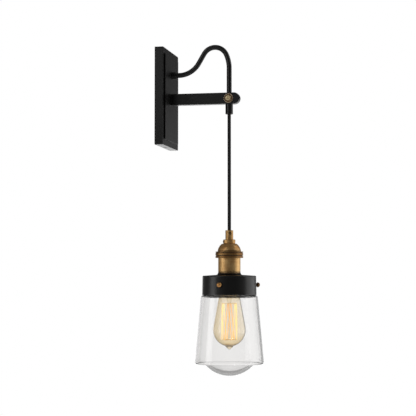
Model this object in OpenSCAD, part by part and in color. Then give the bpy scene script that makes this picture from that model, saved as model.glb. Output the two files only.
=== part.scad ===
// Wall sconce with a gooseneck tube, a flat arm, a corded brass socket and a clear glass shade.
// The origin is the middle of the backplate's rear, on the wall. +Z is up and -Y leaves the wall.

/* [Backplate] */
// Width of the backplate
plate_w = 122; // [100:1:160]
// Height of the backplate
plate_h = 174; // [150:1:230]
// Depth of the backplate from the wall to its border
plate_d = 14.8; // [12:0.1:20]
// Sheet thickness of the backplate
plate_t = 1.4; // [1:0.1:2]
// Corner radius of the backplate
plate_r = 3; // [2.5:0.5:8]
// Width of the border around the raised panel
border_w = 10; // [7:0.2:16]
// How far the raised panel stands off the border
panel_rise = 2.6; // [1:0.2:4]

/* [Mounting strap] */
// Width of the mounting strap
strap_w = 24; // [20:1:40]
// Thickness of the mounting strap
strap_t = 1.8; // [1.2:0.2:3]
// Length of the strap's turned ends
strap_lip = 9; // [7:0.5:10.5]
// Distance between the box screw holes
box_spacing = 88.9; // [80:0.1:100]
// Diameter of a box screw hole
box_hole_d = 4.6; // [4:0.1:6]
// Distance between the two adjusting slots
slot_spacing = 68; // [60:1:76]
// Length of an adjusting slot
slot_len = 8; // [7:0.5:9]
// Diameter of the wire hole in the strap
wire_hole_d = 10; // [7:0.5:14]
// Diameter of the screws that hold the pan on the strap
pan_screw_d = 3.8; // [3:0.1:5]

/* [Gooseneck tube] */
// Distance from the wall to the hanging line of the cord
reach = 122.4; // [114:0.2:160]
// Outer diameter of the tube
tube_d = 9; // [8:0.1:11]
// Wall of the tube
tube_t = 1; // [0.8:0.1:1.4]
// Height of the tube's entry above the middle of the backplate
neck_z = 43.4; // [34:0.2:50]
// Distance from the wall to the start of the first bend
neck_start = 30.8; // [28:0.2:36]
// Radius of the first bend, upwards
bend_up_r = 41.5; // [34:0.5:44]
// Steepest angle of the rising stretch
rise_angle = 59.5; // [50:0.5:60]
// Radius of the bend over the top
bend_top_r = 22.8; // [18:0.2:24]
// Downward angle where the last, wide bend starts
drop_angle = 66; // [50:0.5:70]
// Radius of the last, wide bend
bend_down_r = 61; // [50:1:75]
// Diameter of the boss at the tube's entry
boss_d = 12.6; // [12.2:0.1:18]
// Length of the boss off the panel
boss_len = 8.4; // [6:0.2:10]
// Diameter of the supply cable inside the tube
cable_d = 5.6; // [4:0.1:6]

/* [Arm] */
// Height of the arm's middle above the middle of the backplate
arm_z = -1; // [-6:0.5:6]
// Height of the arm
arm_h = 20.4; // [18:0.2:26]
// Thickness of the arm
arm_t = 14; // [13:0.5:20]
// How far the arm's tip passes the hanging line
arm_tip = 19.6; // [16:0.2:30]
// Diameter of the screws that hold the arm
arm_screw_d = 4; // [3:0.1:5]
// Distance between the screws that hold the arm
arm_screw_gap = 10.4; // [9.6:0.2:11.6]

/* [Knob on the arm] */
// Diameter of the washer under the knob
knob_washer_d = 16.6; // [16:0.1:18]
// Diameter of the knob's dark ring
knob_d = 14.6; // [13:0.1:15.8]
// Thickness of the knob's dark ring
knob_t = 3; // [2.4:0.1:5]
// Diameter of the brass screw head
knob_head_d = 9.8; // [8:0.1:11]
// Diameter of the knob's screw
knob_screw_d = 4; // [3:0.1:5]

/* [Ferrule and swivel] */
// Diameter of the ferrule
ferrule_d = 13.4; // [13:0.1:18]
// Length of the ferrule under the arm
ferrule_len = 18; // [16:0.5:26]
// Diameter of the ferrule's neck inside the arm
ferrule_neck_d = 9.6; // [8.4:0.1:10.6]
// Diameter of the ball that carries the cord
ball_d = 11.4; // [11.2:0.1:11.5]
// Height of the ball's centre above the ferrule's mouth
ball_lift = 2.5; // [2.3:0.1:2.7]

/* [Cord] */
// Diameter of the fabric cord
cord_d = 6.2; // [5:0.1:6.2]
// Length of cord in view between the ferrule and the cord grip
cord_drop = 207.7; // [150:0.1:400]

/* [Socket] */
// Diameter of the cord grip
grip_d = 13.9; // [13:0.1:18]
// Height of the cord grip
grip_h = 16.4; // [14:0.2:22]
// Height of the grip's screw above the grip's foot
grip_screw_h = 11; // [6:0.2:11.4]
// Diameter of the neck ring
neck_d = 21.5; // [18:0.1:24]
// Height of the neck ring
neck_h = 7.5; // [6:0.1:10]
// Height of the domed cap
cap_h = 13.8; // [11:0.2:18]
// Diameter of the cap's top
cap_top_d = 26; // [24:0.2:30]
// Sheet thickness of the cap and the shell
brass_t = 0.9; // [0.6:0.1:1.2]
// Diameter of the ribbed ring
ring_d = 49.3; // [46:0.1:56]
// Height of the ribbed ring
ring_h = 11.2; // [10:0.2:15]
// Diameter of the socket's shell
shell_d = 39.6; // [39:0.1:44]
// Height of the shell below the ribbed ring
shell_h = 28; // [24:0.5:36]

/* [Shade holder] */
// Diameter of the shade holder at its foot
holder_d = 96.6; // [94:0.2:106]
// Height of the shade holder's side
holder_h = 34.2; // [32:0.2:44]
// Rise of the crowned top
crown_rise = 3.6; // [3:0.2:6]
// Sheet thickness of the shade holder
holder_t = 1.6; // [1.2:0.1:2]
// Height of the shade screws above the holder's foot
shade_screw_h = 18; // [15:0.2:20]
// Diameter of the shade screws' heads
shade_head_d = 9; // [8:0.1:11]
// Diameter of the shade screws
shade_screw_d = 4; // [3:0.1:5]

/* [Glass shade] */
// Wall of the glass
glass_t = 2.8; // [2.2:0.1:3.4]
// Diameter of the glass neck inside the holder
glass_neck_d = 82; // [78:0.2:84]
// Diameter of the glass just under its shoulder
shoulder_d = 101.6; // [98:0.2:110]
// Diameter of the glass at its bottom rim
rim_d = 122.8; // [110:0.2:130]
// Height of the glass from the holder's foot to its flat base
glass_h = 121.8; // [116:0.2:150]
// Diameter of the dome under the base
dome_d = 88; // [70:1:96]
// Depth of the dome
dome_h = 20.8; // [14:0.2:30]

/* [Bulb] */
// Widest diameter of the bulb
bulb_d = 58; // [50:0.5:64]
// Length of the bulb from its contact to its tip
bulb_len = 129.8; // [124:0.2:134]
// Diameter of the bulb's base
base_d = 26.3; // [25.5:0.1:26.5]
// Number of strands in the filament's cage
strands = 12; // [8:2:16]
// Radius of the filament's cage
cage_r = 13.5; // [9:0.5:15]

/* [Hidden] */
$fn = 64;

// Clearances: between pieces that slide or turn on each other, between pieces that are laid
// side by side, and between pieces of different moving groups
slip = 0.05;
lay = 0.2;
free = 0.35;
// Overshoot of a cut past the surface that it opens
cut = 1;

BLACK = [0.11, 0.11, 0.11];
BRASS = [0.62, 0.47, 0.27];
COPPER = [0.55, 0.33, 0.17];
STEEL = [0.72, 0.72, 0.7];
PHENOLIC = [0.16, 0.13, 0.11];
GLASS = [0.86, 0.9, 0.9, 0.35];
AMBER = [0.95, 0.75, 0.42, 0.45];

// Backplate
face_y = plate_d + panel_rise;
inner_y = face_y - plate_t;
panel_w = plate_w - 2 * border_w;
panel_h = plate_h - 2 * border_w;
strap_half = plate_h / 2 - plate_t - lay;
slot_w = box_hole_d;
pan_screw_y = strap_lip / 2 + strap_t / 3;
pan_grip = plate_t + lay + strap_t + 1.5;
pan_head_d = pan_screw_d + 2 * plate_t;
pan_slot_w = 0.8;
pan_slot_in = 0.6;
ground_z = 16;
ground_head_h = 2.2;

// Tube
tube_bore = tube_d - 2 * tube_t;
boss_bore = tube_d + 2 * slip;
boss_thread_d = boss_bore + 2;
boss_nut_h = 3.5;
boss_nut_d = boss_thread_d + 7;
tube_end_y = inner_y - boss_nut_h - 2;
cable_end_y = tube_end_y - 3;
rise_run = reach - neck_start - bend_up_r * sin(rise_angle)
    - bend_top_r * (sin(rise_angle) + sin(drop_angle)) - bend_down_r * (1 - sin(drop_angle));
rise_len = rise_run / cos(rise_angle);
p_up = [neck_start + bend_up_r * sin(rise_angle), neck_z + bend_up_r * (1 - cos(rise_angle))];
p_top = p_up + rise_len * [cos(rise_angle), sin(rise_angle)];
c_top = p_top + bend_top_r * [sin(rise_angle), -cos(rise_angle)];
p_down = c_top + bend_top_r * [sin(drop_angle), cos(drop_angle)];
c_down = p_down - bend_down_r * [sin(drop_angle), cos(drop_angle)];

// Arm and knob
arm_foot_z = arm_z - arm_h / 2;
tip_c = reach + arm_tip - arm_h / 2;
ferrule_neck_h = 5.4;
tube_seat_z = arm_foot_z + ferrule_neck_h + 0.4;
arm_screw_in = 12;
arm_screw_tip = 1;
arm_screw_head_h = 2.4;
washer_t = 0.9;
knob_x = arm_t / 2 + washer_t + slip;
knob_edge = 0.7;
knob_head_h = 1.5;
knob_head_edge = 0.8;
knob_seat = 0.6;
knob_socket_in = 0.5;

// Ferrule and swivel
ferrule_z = arm_foot_z - ferrule_len;
ferrule_edge = 0.5;
ball_z = ferrule_z + ball_lift;
ball_r = ball_d / 2;
seat_r = ball_r + free;
swivel_t = 1;
swivel_edge = 30;
swivel_hole = 12;
chamber_z = ball_z + seat_r + swivel_t + free;
ball_cut_z = ferrule_z + 0.3;
cord_fit = 0.3;
cord_top_z = ball_z + 1.8;

// Socket, from the top down
grip_z = ferrule_z - cord_drop;
grip_foot_z = grip_z - grip_h;
neck_foot_z = grip_foot_z - neck_h;
cap_foot_z = neck_foot_z - cap_h;
ring_top_z = cap_foot_z - lay;
ring_foot_z = ring_top_z - ring_h;
shell_foot_z = ring_foot_z - shell_h;
cord_seat = 9;
cord_foot_z = grip_z - cord_seat;
wire_bore = cord_d - 1.4;
grip_edge = 0.6;
nipple_d = 9.5;
nipple_tail = 4;
nipple_h = neck_h + brass_t + nipple_tail;
grip_screw_d = 4.4;
grip_screw_out = 0.3;
grip_socket = 1.2;
grip_screw_angle = 205;
neck_edge = 0.8;
neck_screw_d = 3.4;
neck_screw_out = 0.6;
neck_screw_angle = 102;
cap_foot_lap = 1;
cap_bulge = 25;
rib_edge = 0.45;
rib_back = 2;
shell_bore = shell_d - 2 * brass_t;
shell_flare = 0.8;
shell_flare_h = 2.4;
liner_t = 0.4;
liner_lap = 4;
core_d = shell_bore - 2 * liner_t - 4 * slip - lay;
core_edge = 1.5;
barrel_d = core_d - 2.6;
core_top_z = shell_foot_z + 24;
contact_z = shell_foot_z - 3.6;
contact_t = 0.9;
contact_in_r = 8;
contact_d = 9;
contact_plate = 0.7;
barrel_bore = base_d + 2 * (free + contact_t + slip);
terminal_z = shell_foot_z + 12;
terminal_d = 3;
terminal_head_h = 1.8;
terminal_tip = 0.5;
pocket_in = 4;
pocket_w = 8;

// Shade holder
crown_z = shell_foot_z;
shoulder_z = crown_z - crown_rise;
holder_foot_z = shoulder_z - holder_h;
holder_r = holder_d / 2;
holder_top_r = holder_r - 0.6;
holder_in_r = holder_r - holder_t;
crown_edge = 2.2;
crown_edge_c = [holder_top_r - crown_edge, shoulder_z - crown_edge];
boss_r = shell_d / 2 + shell_flare + 0.1;
flare_r = 3.6;
flare_c = [boss_r + 3.2, crown_z + 1.4];
flare_from = 208;
flare_to = 262;
under_crown_z = flare_c[1] + flare_r * sin(flare_to) - holder_t;
nut_h = 5;
nut_d = barrel_d + 13;
nut_notch = 4;
shade_screw_z = holder_foot_z + shade_screw_h;
shade_screw_angles = [170, 290, 50];
weld_nut_d = 9;
weld_nut_t = 2.6;
weld_nut_in = 0.7;
shade_screw_tip = 0.5;
shade_head_neck = 1.6;
shade_head_rim = 0.8;

// Glass shade
glass_neck_r = glass_neck_d / 2;
lip_h = 4;
lip_r = glass_neck_r + 1.6;
lip_edge = 1;
lip_slope = 1.6;
lip_foot_z = shade_screw_z + shade_screw_d / 2 + free;
glass_top_z = lip_foot_z + lip_h;
glass_shoulder_z = holder_foot_z - lay;
shoulder_round = 5.5;
neck_fillet = 3;
rim_round = 4;
base_z = holder_foot_z - glass_h;
rim_c = [rim_d / 2 - rim_round, base_z + rim_round];
shoulder_c = [shoulder_d / 2 - shoulder_round, glass_shoulder_z - shoulder_round];
cone_angle = atan((rim_c[0] + rim_round - shoulder_c[0] - shoulder_round) / (shoulder_c[1] - rim_c[1]));
dome_r = (dome_d * dome_d / 4 + dome_h * dome_h) / (2 * dome_h);
dome_c = base_z - dome_h + dome_r;

// Bulb
bulb_top_z = contact_z - free - contact_plate;
bulb_tip_z = bulb_top_z - bulb_len;
bulb_r = bulb_d / 2;
nub_h = 5.6;
nub_r = 7.5;
nub_tip_r = 1.3;
bulb_c = bulb_tip_z + nub_h + bulb_r;
base_len = 26;
base_foot_z = bulb_top_z - base_len;
base_r = base_d / 2;
base_t = 0.5;
base_cone = 4;
base_lip = 2.6;
base_gap = 0.9;
barrel_up = 3;
barrel_foot_z = base_foot_z + barrel_up;
insulator_r = base_r - 3.7;
tip_d = 8;
tip_h = 1;
bulb_wall = 0.8;
bulb_tail = 5;
throat_r = 18;
throat_z = base_foot_z - (throat_r - base_r + base_gap) - lay;
cage_up = 47;
cage_down = 17;
cage_top_z = bulb_c + cage_up;
cage_foot_z = bulb_c - cage_down;
strand_d = 0.7;
stay_d = 0.8;
stay_out = 0.6;
rod_d = 2.4;
stem_foot_r = base_r - base_gap - bulb_wall - lay;
stem_r = 4;
stem_cone_h = 8;

// Points along an arc, from angle a0 to angle a1 in n steps
function arc(c, r, a0, a1, n) =
    [for (i = [0:n]) let (a = a0 + (a1 - a0) * i / n) c + r * [cos(a), sin(a)]];

// Outline of a rectangle with rounded corners, centred
module rounded(w, h, r) polygon([for (q = [0:3])
    let (s = [[1, 1], [-1, 1], [-1, -1], [1, -1]][q])
    each arc([s[0] * (w / 2 - r), s[1] * (h / 2 - r)], r, 90 * q, 90 * (q + 1), 5)]);

// Stands children off the wall: their +Z leaves the wall and their +Y is up
module off_wall(y = 0, x = 0, z = 0) translate([x, -y, z]) rotate([90, 0, 0]) children();

// Lays children in the sconce's middle plane: their X leaves the wall and their Y is up
module in_side_plane() rotate([90, 0, -90]) children();

// Moves children to the hanging line of the cord
module on_hanging_line() translate([0, -reach, 0]) children();

// Turns children, drawn along +X, to a direction around the hanging line at a height
module around(angle, z) on_hanging_line() translate([0, 0, z]) rotate([0, 0, angle]) children();

// Ring around the Z axis between two heights
module ring(d_out, d_in, z0, z1) rotate_extrude()
    translate([d_in / 2, min(z0, z1)]) square([(d_out - d_in) / 2, abs(z1 - z0)]);

// Rod along +X from x0 to x1
module rod_x(d, x0, x1) translate([x0, 0, 0]) rotate([0, 90, 0]) cylinder(d = d, h = x1 - x0);

// Machine screw along Z: the shank ends at -len, and the slotted head stands on z = 0
module screw(d, len, head_d, head_h) difference() {
    driver_w = head_d / 8;
    union() {
        translate([0, 0, -len]) cylinder(d = d, h = len + head_h / 2);
        cylinder(d = head_d, h = head_h);
    }
    translate([-head_d / 2 - cut, -driver_w / 2, head_h * 0.55])
        cube([head_d + 2 * cut, driver_w, head_h]);
}

// Stations along the tube's line, from a distance off the wall to a height: each is a distance
// off the wall, a height and a heading. A bend turns about its centre from heading h0 to h1.
function bend(c, r, h0, h1, n) = [for (i = [0:n])
    let (h = h0 + (h1 - h0) * i / n, p = c + sign(h1 - h0) * r * [sin(h), -cos(h)])
    [p[0], p[1], h]];
function neck_line(start_y, stop_z) = concat([[start_y, neck_z, 0]],
    bend([neck_start, neck_z + bend_up_r], bend_up_r, 0, rise_angle, 8),
    bend(c_top, bend_top_r, rise_angle, -drop_angle, 16),
    [for (i = [1:5]) bend(c_down, bend_down_r, -drop_angle, -90, 5)[i]],
    [[reach, stop_z, -90]]);

// Round tube or, with no bore, rod along stations in the sconce's middle plane
module sweep(line, d_out, d_in, sides) {
    n = len(line);
    bored = d_in > 0;
    function ring_at(s, r) = [for (j = [0:sides - 1]) let (a = 360 * j / sides)
        [r * sin(a), -s[0] + r * cos(a) * sin(s[2]), s[1] + r * cos(a) * cos(s[2])]];
    function skin(first, turn) = [for (i = [0:n - 2]) for (j = [0:sides - 1])
        let (a = first + i * sides + j, b = first + i * sides + (j + 1) % sides)
        each turn ? [[a, b + sides, b], [a, a + sides, b + sides]]
            : [[a, b, b + sides], [a, b + sides, a + sides]]];
    inner = n * sides;
    last = (n - 1) * sides;
    rim = [for (j = [0:sides - 1]) let (k = (j + 1) % sides)
        each [[j, inner + j, inner + k], [j, inner + k, k],
            [last + j, last + k, inner + last + k], [last + j, inner + last + k, inner + last + j]]];
    caps = [for (j = [1:sides - 2]) each [[0, j + 1, j], [last, last + j, last + j + 1]]];
    outside = [for (s = line) each ring_at(s, d_out / 2)];
    inside = [if (bored) for (s = line) each ring_at(s, d_in / 2)];
    polyhedron(concat(outside, inside),
        concat(skin(0, false), bored ? concat(skin(inner, true), rim) : caps));
}

module mounting_strap() color(STEEL) difference() {
    union() {
        translate([-strap_w / 2, -strap_t, -strap_half]) cube([strap_w, strap_t, 2 * strap_half]);
        for (s = [-1, 1])
            translate([-strap_w / 2, -strap_lip, s * (strap_half - strap_t / 2) - strap_t / 2])
                cube([strap_w, strap_lip, strap_t]);
    }
    for (s = [-1, 1]) {
        off_wall(-cut, 0, s * box_spacing / 2) cylinder(d = box_hole_d, h = strap_t + 2 * cut);
        off_wall(-cut, 0, s * slot_spacing / 2) linear_extrude(strap_t + 2 * cut)
            polygon(concat(arc([0, (slot_len - slot_w) / 2], slot_w / 2, 0, 180, 8),
                arc([0, (slot_w - slot_len) / 2], slot_w / 2, 180, 360, 8)));
    }
    at_pan_screws() translate([0, 0, -pan_grip])
        cylinder(d = pan_screw_d + 2 * slip, h = pan_grip);
    off_wall(-cut) cylinder(d = wire_hole_d, h = strap_t + 2 * cut);
    off_wall(-cut, strap_w / 4, ground_z)
        cylinder(d = pan_screw_d + 2 * slip, h = strap_t + 2 * cut);
}

module ground_screw() color([0.12, 0.4, 0.2]) off_wall(strap_t, strap_w / 4, ground_z)
    screw(pan_screw_d, strap_t - lay, 2 * pan_screw_d, ground_head_h);

module backplate_pan() color(BLACK) difference() {
    union() {
        off_wall() linear_extrude(plate_d) rounded(plate_w, plate_h, plate_r);
        off_wall() linear_extrude(face_y) rounded(panel_w, panel_h, plate_r);
    }
    off_wall(-cut) linear_extrude(plate_d - plate_t + cut)
        rounded(plate_w - 2 * plate_t, plate_h - 2 * plate_t, plate_r - plate_t / 2);
    off_wall(-cut) linear_extrude(inner_y + cut)
        rounded(panel_w - 2 * plate_t, panel_h - 2 * plate_t, plate_r - plate_t / 2);
    off_wall(inner_y - cut, 0, neck_z) cylinder(d = boss_thread_d + 2 * slip, h = plate_t + 2 * cut);
    for (s = [-1, 1]) off_wall(inner_y - cut, 0, arm_z + s * arm_screw_gap / 2)
        cylinder(d = arm_screw_d + 2 * slip, h = plate_t + 2 * cut);
    at_pan_screws() translate([0, 0, -plate_t - cut])
        cylinder(d1 = pan_screw_d + 2 * (slip - cut), d2 = pan_head_d + 2 * (slip + cut),
            h = plate_t + 2 * cut);
}

// Moves children to the two screws in the pan's rim: their +Z leaves the rim
module at_pan_screws() for (s = [0, 180]) rotate([0, s, 0])
    translate([0, -pan_screw_y, plate_h / 2]) children();

module pan_screws() color(BLACK) at_pan_screws() difference() {
    rotate_extrude() polygon([[0, -pan_grip], [pan_screw_d / 2, -pan_grip],
        [pan_screw_d / 2, -plate_t], [pan_head_d / 2, 0], [0, 0]]);
    translate([-pan_head_d / 2, -pan_slot_w / 2, -pan_slot_in])
        cube([pan_head_d, pan_slot_w, pan_slot_in + cut]);
}

module tube_boss() color(BLACK) difference() {
    union() {
        off_wall(face_y, 0, neck_z) cylinder(d = boss_d, h = boss_len);
        off_wall(inner_y - boss_nut_h - 1, 0, neck_z)
            cylinder(d = boss_thread_d, h = plate_t + boss_nut_h + 1 + boss_len / 2);
    }
    off_wall(0, 0, neck_z) cylinder(d = boss_bore, h = face_y + boss_len + cut);
}

module boss_nut() color(STEEL) off_wall(inner_y - boss_nut_h, 0, neck_z) difference() {
    cylinder(d = boss_nut_d, h = boss_nut_h, $fn = 6);
    translate([0, 0, -cut]) cylinder(d = boss_thread_d + 2 * slip, h = boss_nut_h + 2 * cut);
}

module gooseneck_tube() color(BLACK)
    sweep(neck_line(tube_end_y, tube_seat_z), tube_d, tube_bore, 24);

module supply_cable() color([0.2, 0.2, 0.2])
    sweep(neck_line(cable_end_y, chamber_z + lay), cable_d, 0, 12);

module arm_bar() color(BLACK) difference() {
    in_side_plane() translate([0, arm_z, -arm_t / 2]) linear_extrude(arm_t)
        polygon(concat([[face_y, arm_h / 2], [face_y, -arm_h / 2]],
            arc([tip_c, 0], arm_h / 2, -90, 90, 24)));
    on_hanging_line() translate([0, 0, tube_seat_z])
        cylinder(d = tube_d + 2 * slip, h = arm_h);
    on_hanging_line() translate([0, 0, arm_foot_z - cut])
        cylinder(d = ferrule_neck_d + 2 * slip, h = tube_seat_z - arm_foot_z + cut);
    on_hanging_line() translate([0, 0, arm_z]) rod_x(knob_screw_d + 2 * slip, -arm_t / 2 - cut, 0);
    for (s = [-1, 1]) off_wall(face_y - cut, 0, arm_z + s * arm_screw_gap / 2)
        cylinder(d = arm_screw_d + 2 * slip, h = arm_screw_in + cut);
}

module arm_screws() color(STEEL) for (s = [-1, 1])
    off_wall(inner_y, 0, arm_z + s * arm_screw_gap / 2) rotate([180, 0, 0])
        screw(arm_screw_d, plate_t + arm_screw_in - arm_screw_tip, 2 * arm_screw_d,
            arm_screw_head_h);

// Moves children to the knob's axis, in the arm
module at_knob() on_hanging_line() translate([0, 0, arm_z]) children();

module knob_washer() color([0.42, 0.37, 0.31]) at_knob() difference() {
    rod_x(knob_washer_d, -arm_t / 2 - washer_t, -arm_t / 2);
    rod_x(knob_screw_d + 2 * slip, -arm_t / 2 - washer_t - cut, -arm_t / 2 + cut);
}

// Distances from the arm's middle plane to the knob's face and to its screw's seat and top
knob_face = knob_x + knob_t;
knob_seat_x = knob_face - knob_seat;
knob_top_x = knob_seat_x + knob_head_h;

module knob_disc() color([0.2, 0.12, 0.07]) at_knob() difference() {
    rotate([0, -90, 0]) rotate_extrude() polygon([[0, knob_x], [knob_d / 2, knob_x],
        [knob_d / 2, knob_face - knob_edge], [knob_d / 2 - knob_edge, knob_face],
        [0, knob_face]]);
    rod_x(knob_screw_d + 2 * slip, -knob_face - cut, -knob_x + cut);
    rod_x(knob_head_d + 2 * slip, -knob_face - cut, -knob_seat_x);
}

module knob_screw() color(BRASS) at_knob() difference() {
    rotate([0, -90, 0]) rotate_extrude() polygon(concat([[0, tube_d / 2 + free],
        [knob_screw_d / 2, tube_d / 2 + free], [knob_screw_d / 2, knob_seat_x],
        [knob_head_d / 2, knob_seat_x]],
        arc([knob_head_d / 2 - knob_head_edge, knob_top_x - knob_head_edge],
            knob_head_edge, 0, 90, 3),
        [[0, knob_top_x]]));
    rod_x(knob_head_d / 3, -knob_top_x - cut, -knob_seat_x - knob_socket_in);
}

module ferrule() color(BLACK) on_hanging_line() rotate_extrude() polygon(concat(
    [[cable_d / 2 + 2 * lay, chamber_z], [cable_d / 2 + 2 * lay, arm_foot_z + ferrule_neck_h],
    [ferrule_neck_d / 2, arm_foot_z + ferrule_neck_h], [ferrule_neck_d / 2, arm_foot_z],
    [ferrule_d / 2, arm_foot_z]],
    arc([ferrule_d / 2 - ferrule_edge, ferrule_z + ferrule_edge], ferrule_edge, 0, -60, 2),
    arc([0, ball_z], seat_r, -asin(ball_lift / seat_r), 0, 5),
    [[seat_r, chamber_z]]));

module swivel_washer() color(STEEL) on_hanging_line() rotate_extrude() polygon(concat(
    arc([0, ball_z], seat_r, 90 - swivel_hole, 90 - swivel_edge, 4),
    arc([0, ball_z], seat_r + swivel_t, 90 - swivel_edge, 90 - swivel_hole, 4)));

module swivel_ball() color(BRASS) on_hanging_line() difference() {
    rotate_extrude() polygon(concat([[0, ball_cut_z]],
        arc([0, ball_z], ball_r, -asin((ball_z - ball_cut_z) / ball_r), 90, 16)));
    translate([0, 0, ball_cut_z - cut])
        cylinder(d = cord_d + cord_fit, h = cord_top_z - ball_cut_z + cut);
}

// The cord hangs straight; its points are heights under the ball's centre, and its last one
// is the seat inside the cord grip
cord_heights = [0, 14, 28, 42, 56, 70, 84, 98, 112, 126, 140, 154, 168, 182, 196, 210];
cord_sides = 12;

module pendant_cord() color([0.09, 0.09, 0.09]) {
    heights = [for (h = cord_heights) if (cord_top_z - h > cord_foot_z + cord_d) cord_top_z - h];
    levels = concat(heights, [cord_foot_z]);
    n = len(levels);
    side = [for (j = [0:cord_sides - 1]) let (a = 360 * j / cord_sides)
        cord_d / 2 * [cos(a), sin(a)]];
    points = [for (z = levels) for (p = side) [p[0], p[1] - reach, z]];
    walls = [for (i = [0:n - 2]) for (j = [0:cord_sides - 1])
        let (a = i * cord_sides + j, b = i * cord_sides + (j + 1) % cord_sides)
        each [[a, b, b + cord_sides], [a, b + cord_sides, a + cord_sides]]];
    top = [for (j = [1:cord_sides - 2]) [0, j + 1, j]];
    last = (n - 1) * cord_sides;
    foot = [for (j = [1:cord_sides - 2]) [last, last + j, last + j + 1]];
    polyhedron(points, concat(walls, top, foot));
}

module cord_grip() color(BRASS) difference() {
    on_hanging_line() rotate_extrude() polygon([[0, grip_foot_z - nipple_h],
        [nipple_d / 2, grip_foot_z - nipple_h], [nipple_d / 2, grip_foot_z],
        [grip_d / 2, grip_foot_z], [grip_d / 2, grip_z - grip_edge],
        [grip_d / 2 - grip_edge, grip_z], [0, grip_z]]);
    on_hanging_line() translate([0, 0, cord_foot_z])
        cylinder(d = cord_d + cord_fit, h = cord_seat + cut);
    on_hanging_line() translate([0, 0, grip_foot_z - nipple_h - cut])
        cylinder(d = wire_bore, h = grip_h + nipple_h);
    around(grip_screw_angle, grip_foot_z + grip_screw_h)
        rod_x(grip_screw_d + 2 * slip, 0, grip_d);
}

module grip_screw() color(PHENOLIC)
    around(grip_screw_angle, grip_foot_z + grip_screw_h) difference() {
        rod_x(grip_screw_d, cord_d / 2 + lay, grip_d / 2 + grip_screw_out);
        rod_x(grip_screw_d / 2, grip_d / 2 - grip_socket, grip_d / 2 + cut);
    }

module neck_ring() color(BRASS) difference() {
    on_hanging_line() rotate_extrude() polygon([[nipple_d / 2 + slip, neck_foot_z],
        [neck_d / 2 - neck_edge / 2, neck_foot_z], [neck_d / 2, neck_foot_z + neck_edge],
        [neck_d / 2, grip_foot_z - neck_edge], [neck_d / 2 - neck_edge, grip_foot_z],
        [nipple_d / 2 + slip, grip_foot_z]]);
    around(neck_screw_angle, neck_foot_z + neck_h / 2)
        rod_x(neck_screw_d + 2 * slip, 0, neck_d);
}

module neck_screw() color(PHENOLIC) around(neck_screw_angle, neck_foot_z + neck_h / 2)
    rod_x(neck_screw_d, nipple_d / 2 + lay, neck_d / 2 + neck_screw_out);

// Arc through the cap's top edge and foot edge, bulged outwards, moved in by a wall
function cap_arc(inset) =
    let (a = [cap_top_d / 2, neck_foot_z], b = [shell_d / 2 + cap_foot_lap, cap_foot_z],
        chord = norm(b - a), r = chord / (2 * sin(cap_bulge)), m = (a + b) / 2,
        dir = (b - a) / chord, c = m + r * cos(cap_bulge) * [dir[1], -dir[0]],
        a0 = atan2(a[1] - c[1], a[0] - c[0]), a1 = atan2(b[1] - c[1], b[0] - c[0]))
    arc(c, r - inset, a0, a1, 12);

module socket_cap() color(BRASS) on_hanging_line() rotate_extrude() {
    inside = cap_arc(brass_t);
    ceiling = neck_foot_z - brass_t;
    polygon(concat([[nipple_d / 2 + slip, neck_foot_z]], cap_arc(0),
        [for (i = [12:-1:0]) [inside[i][0], max(cap_foot_z, min(inside[i][1], ceiling))]],
        [[nipple_d / 2 + slip, ceiling]]));
}

module ribbed_ring() color(COPPER) on_hanging_line() rotate_extrude() {
    groove_w = ring_h / 10;
    ribs = [[0, 0.15], [0.24, 0.62], [0.72, 1]];
    translate([shell_d / 2 + slip, ring_foot_z])
        square([ring_d / 2 - shell_d / 2 - slip - groove_w, ring_h]);
    for (b = ribs) {
        z0 = ring_top_z - b[0] * ring_h;
        z1 = ring_top_z - b[1] * ring_h;
        r = min(rib_edge, (z0 - z1) / 3);
        polygon(concat([[shell_d / 2 + rib_back, z1]],
            arc([ring_d / 2 - r, z1 + r], r, -90, 0, 3),
            arc([ring_d / 2 - r, z0 - r], r, 0, 90, 3), [[shell_d / 2 + rib_back, z0]]));
    }
}

module socket_shell() color(BRASS) on_hanging_line() rotate_extrude() polygon([
    [shell_bore / 2, ring_top_z], [shell_d / 2, ring_top_z],
    [shell_d / 2, shell_foot_z + shell_flare_h],
    [shell_d / 2 + shell_flare / 3, shell_foot_z + shell_flare_h / 2],
    [shell_d / 2 + shell_flare, shell_foot_z], [shell_bore / 2, shell_foot_z]]);

module shell_liner() color([0.75, 0.68, 0.55]) on_hanging_line()
    ring(shell_bore - 2 * slip, shell_bore - 2 * slip - 2 * liner_t,
        shell_foot_z + 2 * lay, core_top_z + liner_lap);

module lampholder_core() color(PHENOLIC) difference() {
    on_hanging_line() rotate_extrude() polygon([
        [0, core_top_z], [core_d / 2 - core_edge, core_top_z],
        [core_d / 2, core_top_z - core_edge], [core_d / 2, crown_z], [barrel_d / 2, crown_z],
        [barrel_d / 2, barrel_foot_z], [barrel_bore / 2, barrel_foot_z],
        [barrel_bore / 2, contact_z], [0, contact_z]]);
    for (s = [0, 180]) around(90 + s, terminal_z) {
        rod_x(terminal_d + 2 * slip, core_d / 4, core_d);
        translate([core_d / 2 - pocket_in, -pocket_w / 2, -pocket_w / 2])
            cube([pocket_w, pocket_w, core_top_z - terminal_z + pocket_w]);
    }
}

module contact_shell() color(BRASS) on_hanging_line() {
    out_r = barrel_bore / 2 - slip;
    in_r = out_r - contact_t;
    top_z = contact_z - lay;
    rotate_extrude() polygon([[in_r, barrel_foot_z + barrel_up],
        [out_r, barrel_foot_z + barrel_up], [out_r, top_z], [contact_in_r, top_z],
        [contact_in_r, top_z - contact_t], [in_r, top_z - contact_t]]);
}

module centre_contact() color(BRASS) on_hanging_line()
    translate([0, 0, contact_z - contact_plate]) cylinder(d = contact_d, h = contact_plate);

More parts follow.
